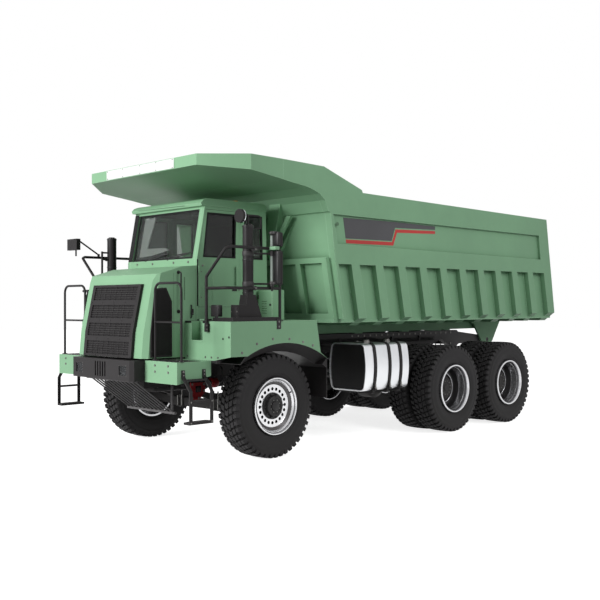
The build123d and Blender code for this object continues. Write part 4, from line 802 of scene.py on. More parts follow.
def make_front_trim():
    """Slot lining, bolts, chequered steps and tow hooks, the underguard's bars, hood seams and latches."""
    it = Shape()
    for step in range(-2, 3):
        x = step * 0.062
        it.box((x - 0.0145, -1.770, 1.192), (x + 0.0145, -1.745, 1.398), 0.002)
    for _ in it.sides():
        for x in (1.019, 1.313):
            for z in (1.293, 1.378):
                it.bolt((x, -1.617, z), (0, -1, 0), 0.012, 0.010, 1)
        for x in (0.87, 1.13, 1.39):
            it.bolt((x, -1.335, 1.434), (0, 0, 1), 0.011, 0.009, 1)
        it.box((0.90, -1.59, 1.434), (1.48, -1.20, 1.4385), 0.001, 2)
        for row in range(7):
            for column in range(9):
                it.chequer(0.94 + column * 0.0625 + (row % 2) * 0.015, -1.565 + row * 0.054, 1.438, 0.017,
                           45 if (row + column) % 2 else -45, 2)
        it.bar([(0.70, -1.50, 1.185), (0.70, -1.66, 1.185), (0.70, -1.70, 1.145)], 0.016, 0.03)
    for x in (-0.219, 0.31, -0.62, 0.66):
        it.bolt((x, -0.7815, 2.812), (0, -1, 0), 0.012, 0.008, 1)
    it.done("front_fittings", (black, zinc, dark))

    it = Shape()
    for step in range(12):
        x = 0.56 * (2 * step / 11 - 1)
        it.rod((x, -1.655, 1.152), (x, -0.960, 0.640), 0.0115, 14)
    it.box((-0.60, -0.985, 0.620), (0.60, -0.935, 0.655), 0.008)
    it.box((-0.60, -1.690, 1.120), (0.60, -1.640, 1.152), 0.006)
    for _ in it.sides():
        it.bar([(0.43, -0.95, 0.64), (0.43, -0.90, 0.66), (0.43, -0.90, 1.125)], 0.020, 0.03)
        it.box((0.40, -0.94, 1.105), (0.47, -0.86, 1.129), 0.004)
    guard = it.done("underguard_bars", (guard_grey,))
    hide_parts("underguard")

    it = Shape()
    for _ in it.sides():
        for y, low, high, width, thick in ((-1.004, 2.262, 2.586, 0.016, 0.003),
                                           (-1.190, 1.470, 2.64, 0.005, 0.0012),
                                           (-0.800, 1.470, 2.70, 0.005, 0.0012)):
            it.strip([(hood_x, y, low), (hood_x, y, high)], (1, 0, 0), width, thick)
        it.bar([(0.864, -1.11, 2.1), (0.928, -1.11, 2.1), (0.928, -1.11, 2.65), (0.864, -1.11, 2.65)],
               0.012, 0.035, paint=1)
        for z in (2.100, 2.650):
            it.rod((0.864, -1.11, z), (0.874, -1.11, z), 0.026, 18, 1, 0.002)
        for z in (1.62, 2.05):
            it.box((0.866, -0.888, z), (0.884, -0.852, z + 0.085), 0.004, 1)
            it.rod((0.884, -0.87, z + 0.02), (0.890, -0.87, z + 0.02), 0.009, 14, 2)
        it.bar([(0.866, -0.891, 2.006), (0.885, -0.891, 2.020), (0.885, -0.891, 2.180),
                (0.866, -0.891, 2.191)], 0.008, 0.01, paint=1)
    it.done("hood_fittings", (deep_green, black, zinc))


# Cab
def screen_y(z, off=0.0):
    """The station of the windscreen's outer face at a height, and so far ahead of it."""
    return -0.75 + (z - 2.85) * 0.14 / 0.75 - off


screen_lean = Vector((0, -1, 0.1867))


def make_cab_seals():
    """Black rubber round the panes, by the doors' gaps and on the far pillar, and the doors' small parts."""
    it = Shape()
    corners = [(-0.752, 2.868), (0.752, 2.868), (0.752, 3.572), (-0.752, 3.572)]
    it.strip([(x, screen_y(z, 0.001), z) for x, z in corners], screen_lean, 0.040, 0.007, closed=True)
    it.strip([(-0.812, screen_y(z, 0.031), z) for z in (2.862, 3.600)], screen_lean, 0.104, 0.0025)
    it.strip([(-0.552, 0.541, 2.908), (0.552, 0.541, 2.908), (0.552, 0.527, 3.442), (-0.552, 0.527, 3.442)],
             (0, 1, 0.0245), 0.030, 0.008, closed=True)
    for _ in it.sides():
        quarter = [(0.128, 2.888), (0.128, 3.522), (0.462, 3.522), (0.472, 2.888)]
        it.strip([(wall_x - 0.022, y, z) for y, z in quarter], (1, 0, 0), 0.026, 0.026, closed=True)
        it.strip([(wall_x, -0.772, 2.175), (wall_x, -0.772, 2.846)], (1, 0, 0), 0.020, 0.0025)
    it.done("cab_seals", (seal,))
    for side, sign in SIDES.items():
        it = Shape(sign)
        pane = [(-0.658, 2.892), (-0.582, 3.518), (-0.058, 3.518), (-0.071, 2.892)]
        it.strip([(wall_x - 0.024, y, z) for y, z in pane], (1, 0, 0), 0.026, 0.0265, closed=True)
        it.rod((wall_x, 0.009, 2.413), (wall_x + 0.008, 0.009, 2.413), 0.013, 20, 1, 0.002)
        it.rod((wall_x, -0.681, 2.758), (wall_x + 0.012, -0.681, 2.758), 0.014, 20, 1, 0.003)
        it.box((wall_x, -0.125, 2.395), (0.8745, -0.035, 2.445), 0.003, 2)
        for y in (-0.62, -0.50):
            it.box((wall_x, y, 2.25), (0.871, y + 0.02, 2.60), 0.002, 3)
        for z in (2.30, 2.67):
            for y in (-0.735, -0.700):
                it.bolt((wall_x, y, z), (1, 0, 0), 0.006, 0.005, 1)
        it.done(f"door_trim_{side}", (seal, zinc, black, green), f"door_{side}")


def make_cab_trim():
    """Wipers, the roof's gutter, beacon and vent, and the inner trim behind the screen and at the rear."""
    it = Shape()
    for foot_x, tip_x, tip_z in ((0.16, 0.62, 2.935), (-0.40, 0.02, 2.932)):
        foot = Vector((foot_x, screen_y(2.862, 0.014), 2.862))
        it.rod(foot + Vector((0, 0.02, 0)), foot + Vector((0, -0.018, 0)), 0.018, 18, bevel=0.003)
        it.strip([foot, (tip_x, screen_y(tip_z, 0.020), tip_z)], screen_lean, 0.016, 0.006)
        blade = [Vector((tip_x + reach, screen_y(z, 0.012), z))
                 for reach, z in ((-0.28, tip_z - 0.012), (0.12, tip_z + 0.016))]
        it.strip(blade, screen_lean, 0.014, 0.012)
        it.strip([point + Vector((0, 0.004, 0.004)) for point in blade], screen_lean, 0.005, 0.012)
    it.done("wipers", (black,))

    it = Shape()
    it.strip([(-0.69, -0.709, 3.659), (0.484, -0.709, 3.642)], (0, -1, 0.2), 0.012, 0.0015)
    for _ in it.sides():
        it.strip([(0.8745, -0.66, 3.628), (0.8745, 0.52, 3.628)], (1, 0, 0), 0.014, 0.006, 3)
        for y in (-0.45, -0.1, 0.25):
            it.bolt((0.55, y, 3.73), (0, 0, 1), 0.010, 0.007, 2)
    it.post(0.45, 0.30, 3.729, 3.752, 0.062, 28, 2, 0.004)
    it.post(0.45, 0.30, 3.750, 3.800, 0.046, 28, 1, 0.006, 0.040)
    it.box((-0.35, -0.15, 3.728), (0.15, 0.25, 3.790), 0.014, 3)
    for step in range(8):
        x = -0.32 + step * 0.062
        it.box((x, -0.12, 3.789), (x + 0.03, 0.22, 3.7915), 0.001, 2)
    it.done("roof_fittings", (deep_green, amber, black, green))

    it = Shape()
    outline = [(-0.690, 3.545), (-0.415, 3.545), (-0.520, 3.060), (-0.045, 3.052), (0.060, 3.016),
               (-0.404, 2.943), (-0.690, 2.930)]
    it.bridge([[(x, screen_y(z, off), z) for x, z in outline] for off in (-0.045, -0.063)], 3, caps=3)
    it.box((0.49, -0.585, 3.500), (0.77, -0.560, 3.590), 0.006, 1, Matrix.Rotation(0.2, 4, "X"))
    for _ in it.sides():
        it.box((0.765, -0.60, 2.95), (0.805, -0.545, 3.56), 0.012, 2)
        it.box((0.585, 0.445, 2.90), (0.655, 0.48, 3.50), 0.012, 2)
    it.box((-0.75, -0.52, 3.588), (0.75, 0.44, 3.614), 0.012, 2)
    it.box((-0.79, 0.492, 2.10), (0.79, 0.512, 2.890), 0.008)
    it.box((-0.79, 0.478, 3.462), (0.79, 0.500, 3.585), 0.008)
    for _ in it.sides():
        it.box((0.580, 0.480, 2.880), (0.79, 0.502, 3.470), 0.008)
    it.done("cab_inner_trim", (trim_grey, black, plastic, screen_trim))


cloth_frames = 20


def swell(mesh, name, pressure, cap, voxel):
    """Swells a closed mesh like a filled cushion, with no point moving further than the cap."""
    obj = bpy.data.objects.new(name, mesh)
    scene.collection.objects.link(obj)

    def shaped():
        return bpy.data.meshes.new_from_object(obj.evaluated_get(bpy.context.evaluated_depsgraph_get()))

    remesh = obj.modifiers.new("remesh", "REMESH")
    remesh.mode = "VOXEL"
    remesh.voxel_size = voxel
    even = shaped()
    obj.modifiers.clear()
    obj.data = even
    start = [vert.co.copy() for vert in even.vertices]
    cloth = obj.modifiers.new("cloth", "CLOTH")
    cloth.settings.use_pressure = True
    cloth.settings.uniform_pressure_force = pressure
    cloth.settings.effector_weights.gravity = 0
    cloth.settings.quality = 5
    cloth.point_cache.frame_start, cloth.point_cache.frame_end = 1, cloth_frames
    for step in range(1, cloth_frames + 1):
        scene.frame_set(step)
    moved = shaped()
    scene.frame_set(1)
    for vert, first in zip(moved.vertices, start):
        away = vert.co - first
        if away.length > cap:
            vert.co = first + away.normalized() * cap
    bpy.data.objects.remove(obj)
    return moved


def cushion_mesh(name, size, crown, pinch):
    """A crowned cushion round the origin: rounded in plan, full in its middle, with sides that pull in."""
    bm = bmesh.new()
    bmesh.ops.create_cube(bm, size=2)
    bmesh.ops.subdivide_edges(bm, edges=bm.edges, cuts=10, use_grid_fill=True)
    half = Vector(size) / 2
    for vert in bm.verts:
        x, y, z = vert.co
        full = (1 - x ** 4) * (1 - y ** 4)
        rise = z * (half.z * (0.62 + 0.38 * full) + crown * full * (z > 0))
        pull = 1 - pinch * (abs(z) ** 3)
        round_x, round_y = x * math.sqrt(1 - 0.10 * y * y), y * math.sqrt(1 - 0.10 * x * x)
        vert.co = (round_x * half.x * pull, round_y * half.y * pull, rise)
    mesh = bpy.data.meshes.new(name)
    bmesh.ops.recalc_face_normals(bm, faces=bm.faces)
    bm.to_mesh(mesh)
    bm.free()
    return mesh


# Pads of one seat: name, size, crown, place behind the seat's middle, lean back in degrees
PADS = (("cushion", (0.48, 0.46, 0.105), 0.012, (0, 0.050, 2.438), 0),
        ("back", (0.44, 0.60, 0.095), 0.012, (0, 0.285, 2.800), 99.5),
        ("head", (0.25, 0.17, 0.085), 0.008, (0, 0.352, 3.190), 97))
seat_x = 0.38


def seam_line(mesh, name):
    """Piping along a pad's widest line."""
    points = {}
    for vert in mesh.vertices:
        angle = round(math.atan2(vert.co.y, vert.co.x) / (math.pi / 36))
        if angle not in points or vert.co.xy.length > points[angle].xy.length:
            points[angle] = vert.co.copy()
    curve = bpy.data.curves.new(name, "CURVE")
    curve.dimensions = "3D"
    curve.bevel_depth = 0.0045
    curve.bevel_resolution = 3
    spline = curve.splines.new("NURBS")
    spline.points.add(len(points) - 1)
    for point, angle in zip(spline.points, sorted(points)):
        x, y, z = points[angle]
        point.co = (x, y, z * 0.3, 1)
    spline.use_cyclic_u = True
    return curve


def make_seats():
    """Two seats: swollen pads with piping on a sprung stand, with armrests and rods for the headrest."""
    made = []
    for name, size, crown, place, lean in PADS:
        mesh = cushion_mesh(f"seat_{name}", [side - 0.030 for side in size], crown, 0.05)
        mesh = swell(mesh, f"seat_{name}_cloth", 4.0, 0.012, 0.009)
        made.append((name, mesh, Vector(place), lean))
    for side, sign in SIDES.items():
        for name, mesh, place, lean in made:
            put = Matrix.Translation((sign * seat_x, place.y + station_0, place.z)) @ turned(lean, "X")
            pad = add_object(f"seat_{name}_{side}", mesh.copy(), (fabric,), "chassis")
            pad.data.shade_smooth()
            pad.data.transform(put)
            smooth = pad.modifiers.new("smooth", "SUBSURF")
            smooth.levels = smooth.render_levels = 1
            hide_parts("seats")
            name = f"seat_{name}_piping_{side}"
            add_object(name, seam_line(mesh, name), (seal,), "chassis").data.transform(put)
        it = Shape(sign)
        x = seat_x
        it.box((x - 0.20, -0.135, 2.362), (x + 0.20, 0.245, 2.392), 0.008)
        it.box((x - 0.17, -0.10, 2.050), (x + 0.17, 0.22, 2.085), 0.006)
        for step in range(7):
            low, half = 2.085 + step * 0.040, 0.165 - 0.012 * (step % 2)
            it.box((x - half, -0.095, low), (x + half, 0.215, low + 0.039), 0.016, 1)
        for arm in (x - 0.245, x + 0.245):
            it.bar([(arm, 0.275, 2.50), (arm, 0.255, 2.655), (arm, -0.05, 2.665)], 0.014, 0.04)
            it.box((arm - 0.028, -0.07, 2.655), (arm + 0.028, 0.20, 2.695), 0.014, 1)
        for rod in (x - 0.05, x + 0.05):
            it.rod((rod, 0.345, 3.06), (rod, 0.352, 3.16), 0.007, paint=2)
        it.box((x - 0.20, 0.315, 2.50), (x + 0.20, 0.345, 2.54), 0.008)
        it.done(f"seat_stand_{side}", (plastic, seal, chrome))


def make_dash_details():
    """Binnacle, screen, gauges, switches, levers and the wheel's hub pad."""
    it = Shape()
    it.box((0.16, -0.595, 2.795), (0.60, -0.47, 2.870), 0.02, 0, Matrix.Rotation(0.35, 4, "X"))
    for x, radius in ((0.27, 0.048), (0.49, 0.048), (0.38, 0.030)):
        it.rod((x, -0.470, 2.825), (x, -0.462, 2.828), radius, 28, 1, 0.002)
        it.rod((x, -0.463, 2.828), (x, -0.4605, 2.829), radius * 0.86, 28, 2)
    screen_turn = Matrix.Rotation(0.25, 4, "X")
    it.box((-0.10, -0.56, 2.80), (0.10, -0.50, 2.93), 0.008, 0, screen_turn)
    it.box((-0.088, -0.502, 2.815), (0.088, -0.496, 2.918), 0.002, 1, screen_turn)
    for row in range(2):
        for column in range(5):
            x, z = -0.62 + column * 0.055, 2.62 + row * 0.06
            it.box((x, -0.412, z), (x + 0.040, -0.398, z + 0.045), 0.003, 3)
    it.rod((0.0, 0.05, 2.42), (0.02, -0.02, 2.60), 0.010, 14, 4)
    it.rod((0.02, -0.02, 2.59), (0.025, -0.035, 2.65), 0.024, 20, 0, 0.006, 0.018)
    for x in (-0.08, 0.08):
        it.box((x - 0.03, -0.20, 2.419), (x + 0.03, -0.05, 2.430), 0.004, 3)
    for x in (0.27, 0.50):
        it.box((x - 0.045, -0.56, 2.09), (x + 0.045, -0.44, 2.13), 0.006, 3, Matrix.Rotation(0.7, 4, "X"))
    along, hub = Vector((0, 0.230, 0.200)).normalized(), Vector((0.38, -0.32, 2.76))
    it.rod(hub - along * 0.02, hub + along * 0.028, 0.062, 28, 0, 0.010)
    it.done("dash_details", (plastic, black, trim_grey, black, chrome))


# Decks, rails, ladders and mirrors
def make_deck_fittings():
    """Tread sheets, arch bolts, work lamps, the black edge strip and the green cabinet behind the cab."""
    for side, sign in SIDES.items():
        it = Shape(sign)
        for low_y, high_y in ((-0.82, -0.10), (-0.08, 0.36)):
            it.box((0.91, low_y, 1.9655), (1.60, high_y, 1.9695), 0.001)
            for row in range(int((high_y - low_y) / 0.06)):
                for column in range(10):
                    it.chequer(0.955 + column * 0.6 / 9, low_y + 0.04 + row * 0.06, 1.969, 0.018,
                               sign * (45 if (row + column) % 2 else -45))
        for low, high in ((1.275, 1.385), (0.88, 1.018)):
            it.box((low, -1.004, 1.94), (high, -0.86, 1.9705), 0.003, 1)
        for z, y in ((1.543, -0.801), (1.656, -0.53), (1.715, -0.231), (1.706, 0.089), (1.655, 0.36),
                     (1.60, 0.56)):
            it.bolt((1.866, y, z), (1, 0, 0), 0.013, 0.010, 2)
        for x, z in ((1.707, 1.733), (1.832, 1.757)):
            it.rod((x, -0.998, z), (x, -1.0025, z), 0.016, 18, 1)
        for x in (0.93, 1.33, 1.46, 1.60):
            it.bolt((x, -1.0, 1.475), (0, -1, 0), 0.010, 0.008, 2)
        it.box((1.425, -0.985, 2.030), (1.585, -0.905, 2.190), 0.012, 1)
        it.box((1.443, -0.990, 2.048), (1.567, -0.984, 2.172), 0.006, 0)
        it.box((1.485, -0.960, 1.964), (1.525, -0.930, 2.034), 0.004, 1)
        it.done(f"deck_fittings_{side}", (dark, black, zinc))

        it = Shape(sign)
        hinge_x, latch_x, vent = (0.920, 1.181, (0.994, 1.106))
        if sign < 0:
            hinge_x, latch_x, vent = (1.210, 0.949, (1.024, 1.136))
        it.box((0.904, 0.36, 1.966), (1.226, 0.60, 2.416), 0.010)
        it.box((0.918, 0.353, 1.99), (1.212, 0.362, 2.395), 0.004)
        for z in (2.07, 2.31):
            it.rod((hinge_x, 0.350, z - 0.03), (hinge_x, 0.350, z + 0.03), 0.007, 12, 1)
        it.rod((latch_x, 0.354, 2.19), (latch_x, 0.346, 2.19), 0.018, 20, 1, 0.002)
        for step in range(6):
            z = 2.06 + step * 0.035
            it.box((vent[0], 0.350, z), (vent[1], 0.354, z + 0.012), 0.001, 2)
        it.done(f"deck_cabinet_{side}", (green, black, deep_green))


def make_rail_fittings():
    """Black clamps and feet on the deck rails and the front grab rails, with their bolts."""
    it = Shape()
    for sign in it.sides():
        for z in (2.42, 2.95):
            it.rod((1.84, -0.575, z), (1.84, -0.525, z), 0.030, 18, 0, 0.004)
            it.rod((1.84, -0.55, z), (1.775, -0.55, z), 0.012, 12)
            it.bolt((1.868, -0.55, z), (1, 0, 0), 0.009, 0.008, 1)
        it.post(1.84, -0.075, 1.966, 1.976, 0.050, 24, 0, 0.002)
        it.box((1.800, -0.160, 1.85), (1.872 if sign > 0 else 1.862, -0.078, 1.995), 0.004)
        for z in (1.885, 1.955):
            it.bolt((1.872, -0.120, z), (1, 0, 0), 0.009, 0.008, 1)
        for z in (1.86, 1.91):
            for x in (1.366, 1.414):
                it.bolt((x, -1.0395, z), (0, -1, 0), 0.008, 0.007, 1)
        for x in (0.90, 1.49):
            it.post(x, -1.53, 1.4345, 1.4435, 0.040, 24, 0, 0.002)
            for sin, cos in circle(3, 0.5):
                it.bolt((x + sign * 0.029 * cos, -1.53 + 0.029 * sin, 1.4435), (0, 0, 1), 0.005, 0.005, 1)
    it.done("rail_fittings", (black, zinc))


def make_ladder_fittings():
    """Serrated rungs and bolts on both ladders."""
    it = Shape()
    for _ in it.sides():
        for z, low, high in ((0.651, 1.560, 1.684), (0.928, 1.630, 1.684), (1.203, 1.532, 1.576)):
            for step in range(15):
                y = -1.500 + step * 0.0215
                it.box((low, y, z - 0.001), (high, y + 0.006, z + 0.006), 0.001)
        for y in (-1.523, -1.175):
            for x, z, radius, height in ((1.5235, 1.262, 0.010, 0.009), (1.5235, 1.305, 0.010, 0.009),
                                         (1.6875, 0.645, 0.008, 0.007), (1.6875, 0.918, 0.008, 0.007)):
                it.bolt((x, y, z), (1, 0, 0), radius, height, 1)
    it.done("ladder_fittings", (dark, zinc))


def make_mirror_fittings():
    """Mirror shells and glass, clamps on their tube, mast rings and the round mirror's glass."""
    it = Shape()
    for low_z, high_z in ((2.478, 2.940), (3.008, 3.200)):
        it.box((1.905, -0.268, low_z), (2.006, -0.188, high_z), 0.026)
        it.box((1.917, -0.190, low_z + 0.024), (1.994, -0.182, high_z - 0.024), 0.003, 1)
    it.box((1.868, -0.300, 2.950), (1.990, -0.220, 2.998), 0.008, 2)
    for z in (2.470, 3.168):
        it.box((1.860, -0.300, z), (1.965, -0.228, z + 0.040), 0.008, 3)
        it.bolt((1.905, -0.302, z + 0.02), (0, -1, 0), 0.009, 0.008, 4)
    for low_z, high_z in ((2.515, 2.865), (3.005, 3.150)):
        it.post(1.885, -0.265, low_z, high_z, 0.024, 24, 5)
    for z in (2.48, 2.90):
        it.post(1.885, -0.265, z - 0.035, z + 0.035, 0.030, 20, 3, 0.004)
        it.post(mast_x, mast_y, z - 0.030, z + 0.030, 0.082, 40, 3, 0.004)
    it.disc([(0, 0), (0, 0.089), (0.006, 0.096), (0.012, 0.092), (0.014, 0.082), (0.020, 0.05), (0.022, 0)],
            (mast_x, -0.668, 3.41), 48, 1, turned(90, "Z"))
    it.disc([(0, 0), (0, 0.094), (0.010, 0.088), (0.026, 0.060), (0.034, 0.026), (0.036, 0)],
            (mast_x, -0.672, 3.41), 48, 0, turned(-90, "Z"))
    it.done("mirror_fittings_left", (black, mirror, green, grey, zinc, pale))

    it = Shape()
    it.box((-2.006, -1.170, 3.084), (-1.724, -1.130, 3.256), 0.016)
    it.box((-1.994, -1.131, 3.096), (-1.736, -1.125, 3.244), 0.003, 1)
    it.done("mirror_fittings_right", (black, mirror))

    it = Shape()
    for _ in it.sides():
        for z in (2.345, 2.80, 3.26):
            it.post(mast_x, mast_y, z, z + 0.022, 0.080, 40, 0, 0.004)
        for sin, cos in circle(8, 0.2):
            it.bolt((mast_x + 0.062 * cos, mast_y + 0.062 * sin, 3.29), (0, 0, 1), 0.006, 0.006, 1)
        it.disc([(0, 0), (0, 0.050), (0.012, 0.054), (0.020, 0.046), (0.020, 0)], (mast_x, mast_y, 3.288), 32,
                turn=turned(-90, "Y"))
        for z in (2.01, 2.10):
            for x in (1.645, 1.755):
                it.bolt((x, -0.792, z), (0, -1, 0), 0.008, 0.007, 1)
        it.box((1.648, -0.797, 1.985), (1.752, -0.790, 2.165), 0.004, 2)
    it.done("mast_fittings", (black, zinc, dark))


# Rock body
def make_decals():
    """Thin dark panels with a red line below on the body's sides, and a blank sign on the canopy."""
    dark_line = [(1.276, 3.512), (2.517, 3.524), (3.588, 3.516), (3.587, 3.456), (2.517, 3.427),
                 (2.427, 3.212), (1.331, 3.197)]
    red_line = [(1.335, 3.182), (2.440, 3.196), (2.530, 3.405), (3.587, 3.437), (3.587, 3.388),
                (2.565, 3.352), (2.470, 3.140), (1.346, 3.124)]
    it = Shape()
    for _ in it.sides():
        for paint, outline in enumerate((dark_line, red_line)):
            it.slab(outline, "X", recess_x, recess_x + 0.0013, paint)
    it.done("side_decals", (charcoal, red), "dump_body")
    it = Shape()
    it.box((-0.890, -1.158, 4.112), (0.823, -1.149, 4.250), 0.003)
    for x in (-0.86, -0.45, 0, 0.40, 0.79):
        for z in (4.126, 4.236):
            it.bolt((x, -1.158, z), (0, -1, 0), 0.006, 0.004, 1)
    it.done("blank_sign", (white, zinc), "dump_body")


def weld(it, start, end, width=0.012):
    """A bead of weld: a low ridge that swells and thins along its length."""
    start, end = it.at(start), it.at(end)
    along = end - start
    count = max(2, int(along.length / 0.05))
    across = along.orthogonal().normalized()
    beside = along.normalized().cross(across)
    it.bridge([[start + along * step / count
                + (across * cos + beside * sin) * width * (0.42 + 0.10 * ((step * 7) % 3))
                for sin, cos in circle(6)] for step in range(count + 1)])


def make_body_details():
    """Weld beads, gussets at the headboard, side caps and bolts below the floor."""
    it = Shape()
    low_z, top_z, mid_z, lean = 1.99, 2.79, 2.415, 0.2
    for _ in it.sides():
        for rib in range(10):
            for y in (1.494 + 0.563 * rib, 1.679 + 0.563 * rib):
                weld(it, *((1.7545, y - lean * (z - mid_z), z) for z in (low_z, top_z)))
        for y0, z0, y1, z1 in ((1.013, 3.545, 6.899, 3.534), (1.104, 3.104, 6.963, 3.065)):
            weld(it, (recess_x, y0 + 0.02, z0), (recess_x, y1 - 0.02, z1), 0.010)
        weld(it, (1.742, 1.30, 1.942), (1.742, 7.40, 1.942), 0.03)
    it.done("body_welds", (green,), "dump_body", 60)

    it = Shape()
    gusset = [(0.675, 3.790), (0.926, 3.769), (0.730, 3.049), (0.568, 3.056)]
    brace = [(1.037, 3.560), (1.126, 3.553), (0.765, 3.047), (0.684, 3.051)]
    for _ in it.sides():
        it.rod((1.854, 1.10, 3.40), (1.862, 1.10, 3.40), 0.030, 24, 1, 0.002)
        for outline, low_y, high_y in ((gusset, 0.810, 1.020), (brace, 0.830, 0.870), (brace, 0.960, 1.020)):
            it.slab(outline, "Y", low_y, high_y)
        weld(it, (0.735, 0.995, 3.06), (0.925, 0.885, 3.75))
        for y in (1.63, 2.93, 4.23, 5.53):
            for x in (0.555, 0.585):
                it.bolt((x, y, 1.700), (0, 0, -1), 0.006, 0.005, 2)
    it.done("body_fittings", (green, deep_green, zinc), "dump_body")


# Chassis
def make_chassis_fittings():
    """Bolts and pipes along the rails, air vessels, brake chambers, spring bolts, tail lamps and a plate."""
    it = Shape()
    rail_x, pipe_x, middle = 0.627, 0.642, (mid_y + rear_y) / 2
    for _ in it.sides():
        for step in range(28):
            y = 1.35 + step * 0.16
            for z in () if 1.95 < y < 2.75 else (1.43, 1.645):
                it.bolt((rail_x, y, z), (1, 0, 0), 0.012, 0.010, 1)
        for y in (-1.30, -1.05, -0.55, 0.15, 0.45):
            for z in (1.175, 1.355):
                it.bolt((0.50, y, z), (1, 0, 0), 0.011, 0.010, 1)
        for z, radius in ((1.595, 0.009), (1.571, 0.009), (1.545, 0.012)):
            line = ((1.42, z - 0.12), (1.60, z), (3.3, z), (3.55, z - 0.03), (5.10, z - 0.03))
            it.bar([(pipe_x, y, height) for y, height in line], radius, 0.06, 8, 2)
        for y in (1.75, 2.45, 3.15, 3.85, 4.65):
            it.box((rail_x, y - 0.014, 1.520), (0.660, y + 0.014, 1.612), 0.003)
        for y in (3.00, 3.40):
            it.bolt((0.577, y, 1.30), (1, 0, 0), 0.014, 0.012, 1)
        for y in (-0.0975, 0.0975):
            for x in (0.398, 0.502):
                it.post(x, y, 0.60, 0.885, 0.012, 12, 1)
            it.box((0.384, y - 0.018, 0.586), (0.516, y + 0.018, 0.604), 0.003)
        for y in (middle - 0.15, middle + 0.15):
            for x in (0.716, 0.864):
                it.post(x, y, 0.86, 1.355, 0.014, 12, 1)
        for axle in (mid_y, rear_y):
            for way in (-1, 1):
                place = Vector((0.60, axle + way * 0.24, 0.80))
                it.rod(place, place + Vector((0, way * 0.13, 0.02)), 0.085, 28, 2, 0.010)
                it.rod(place + Vector((0, way * 0.062, 0.01)), place + Vector((0, way * 0.074, 0.012)),
                       0.094, 28, 1, 0.002)
                it.box(place + Vector((-0.05, -way * 0.13, -0.05)), place + Vector((0.05, way * 0.01, 0.05)),
                       0.006)
    for x in (-0.30, 0.12):
        it.rod((x, 1.62, 1.52), (x + 0.36, 1.62, 1.52), 0.105, 32, 2, 0.022)
        for strap in (x + 0.08, x + 0.28):
            it.ring([(-0.016, 0.110), (0.016, 0.110), (0.016, 0.1055), (-0.016, 0.1055)], (strap, 1.62, 1.52),
                    32, 1)
    it.done("chassis_fittings", (grey, zinc, black))

    it = Shape()
    third = 0.205 / 3
    for sign in it.sides():
        it.box((0.30, 5.948, 1.455), (0.505, 6.000, 1.565), 0.008)
        for slot, paint in enumerate((3, 2, 1)):
            low = 0.30 + third * slot + (0.008 if sign > 0 else 0.004)
            it.box((low, 5.998, 1.467), (low + third - 0.012, 6.012, 1.553), 0.006, paint)
    it.box((-0.26, 5.949, 1.420), (-0.10, 5.955, 1.500), 0.002, 3)
    it.done("tail_lamps", (black, red_lens, amber, white))


def make_red_gear():
    """The red steering gear and its small pump beside the near front spring, with their pipes."""
    it = Shape()
    plate = [(-0.662, 0.800), (-0.500, 0.800), (-0.400, 0.905), (-0.400, 1.045), (-0.662, 1.055)]
    it.slab(plate, "X", 0.540, 0.572)
    it.box((0.505, -0.640, 0.830), (0.545, -0.440, 1.120), 0.010, 1)
    it.box((0.570, -0.580, 0.905), (0.576, -0.480, 1.000), 0.002, 2)
    it.rod((0.571, -0.530, 0.952), (0.600, -0.530, 0.952), 0.036, 24, 1, 0.004)
    for y, z in ((-0.640, 0.825), (-0.640, 1.030), (-0.425, 1.022), (-0.425, 0.925), (-0.520, 0.822)):
        it.bolt((0.572, y, z), (1, 0, 0), 0.013, 0.012, 3)
    for low_y, high_y, radius, sides, paint, bevel in (
            (-0.300, -0.180, 0.075, 28, 0, 0.012), (-0.335, -0.298, 0.052, 24, 3, 0.006),
            (-0.182, -0.160, 0.060, 24, 3, 0.006)):
        it.rod((0.56, low_y, 1.030), (0.56, high_y, 1.030), radius, sides, paint, bevel)
    it.box((0.490, -0.290, 1.080), (0.580, -0.190, 1.150), 0.008, 1)
    for line in ([(0.57, -0.47, 1.05), (0.57, -0.47, 1.16), (0.57, -0.24, 1.16), (0.57, -0.24, 1.09)],
                 [(0.56, -0.165, 1.03), (0.56, -0.06, 1.03), (0.56, -0.06, 1.22), (0.52, -0.06, 1.26)]):
        it.bar(line, 0.012, 0.05, paint=2)
    it.done("steering_gear", (deep_red, cast, black, zinc))


def make_engine_details():
    """Ribs, covers, sump, belt wheel, fan and pipes on the plain engine block, seen through gaps."""
    it = Shape()
    for _ in it.sides():
        for step in range(6):
            y = -1.20 + step * 0.27
            it.box((0.338, y, 1.25), (0.372, y + 0.05, 1.80), 0.008)
            it.rod((0.340, y + 0.15, 1.72), (0.382, y + 0.15, 1.72), 0.045, 20, 0, 0.006)
        it.bar([(0.385, -1.22, 1.86), (0.385, 0.30, 1.86), (0.385, 0.42, 1.70)], 0.035, 0.08, paint=1)
        it.rod((0.37, -0.95, 1.14), (0.37, -0.70, 1.14), 0.058, 24, 2, 0.010)
    it.box((-0.26, -1.10, 0.925), (0.26, 0.25, 1.005), 0.03)
    for step in range(8):
        for x in (-0.285, 0.285):
            it.bolt((x, -1.05 + step * 0.18, 1.0), (0, 0, -1), 0.009, 0.008, 3)
    it.rod((0.0, -1.33, 1.55), (0.0, -1.365, 1.55), 0.16, 40, 2, 0.006)
    half = Vector((0.045, 0.004, 0.11))
    for step, (sin, cos) in enumerate(circle(8)):
        middle = Vector((0.20 * sin, -1.385, 1.55 + 0.20 * cos))
        it.box(middle - half, middle + half, 0.002, 2, turned(45 * step, "Y") @ Matrix.Rotation(0.5, 4, "Z"))
    it.done("engine_details", (cast, grey, black, zinc))


# Camera, light and floor
camera_place = (10.891, -11.469, 2.194)
camera_heading, camera_pitch, camera_roll = (math.radians(a) for a in (45.2804, 0.2923, -0.1232))
camera_lens = 53.157
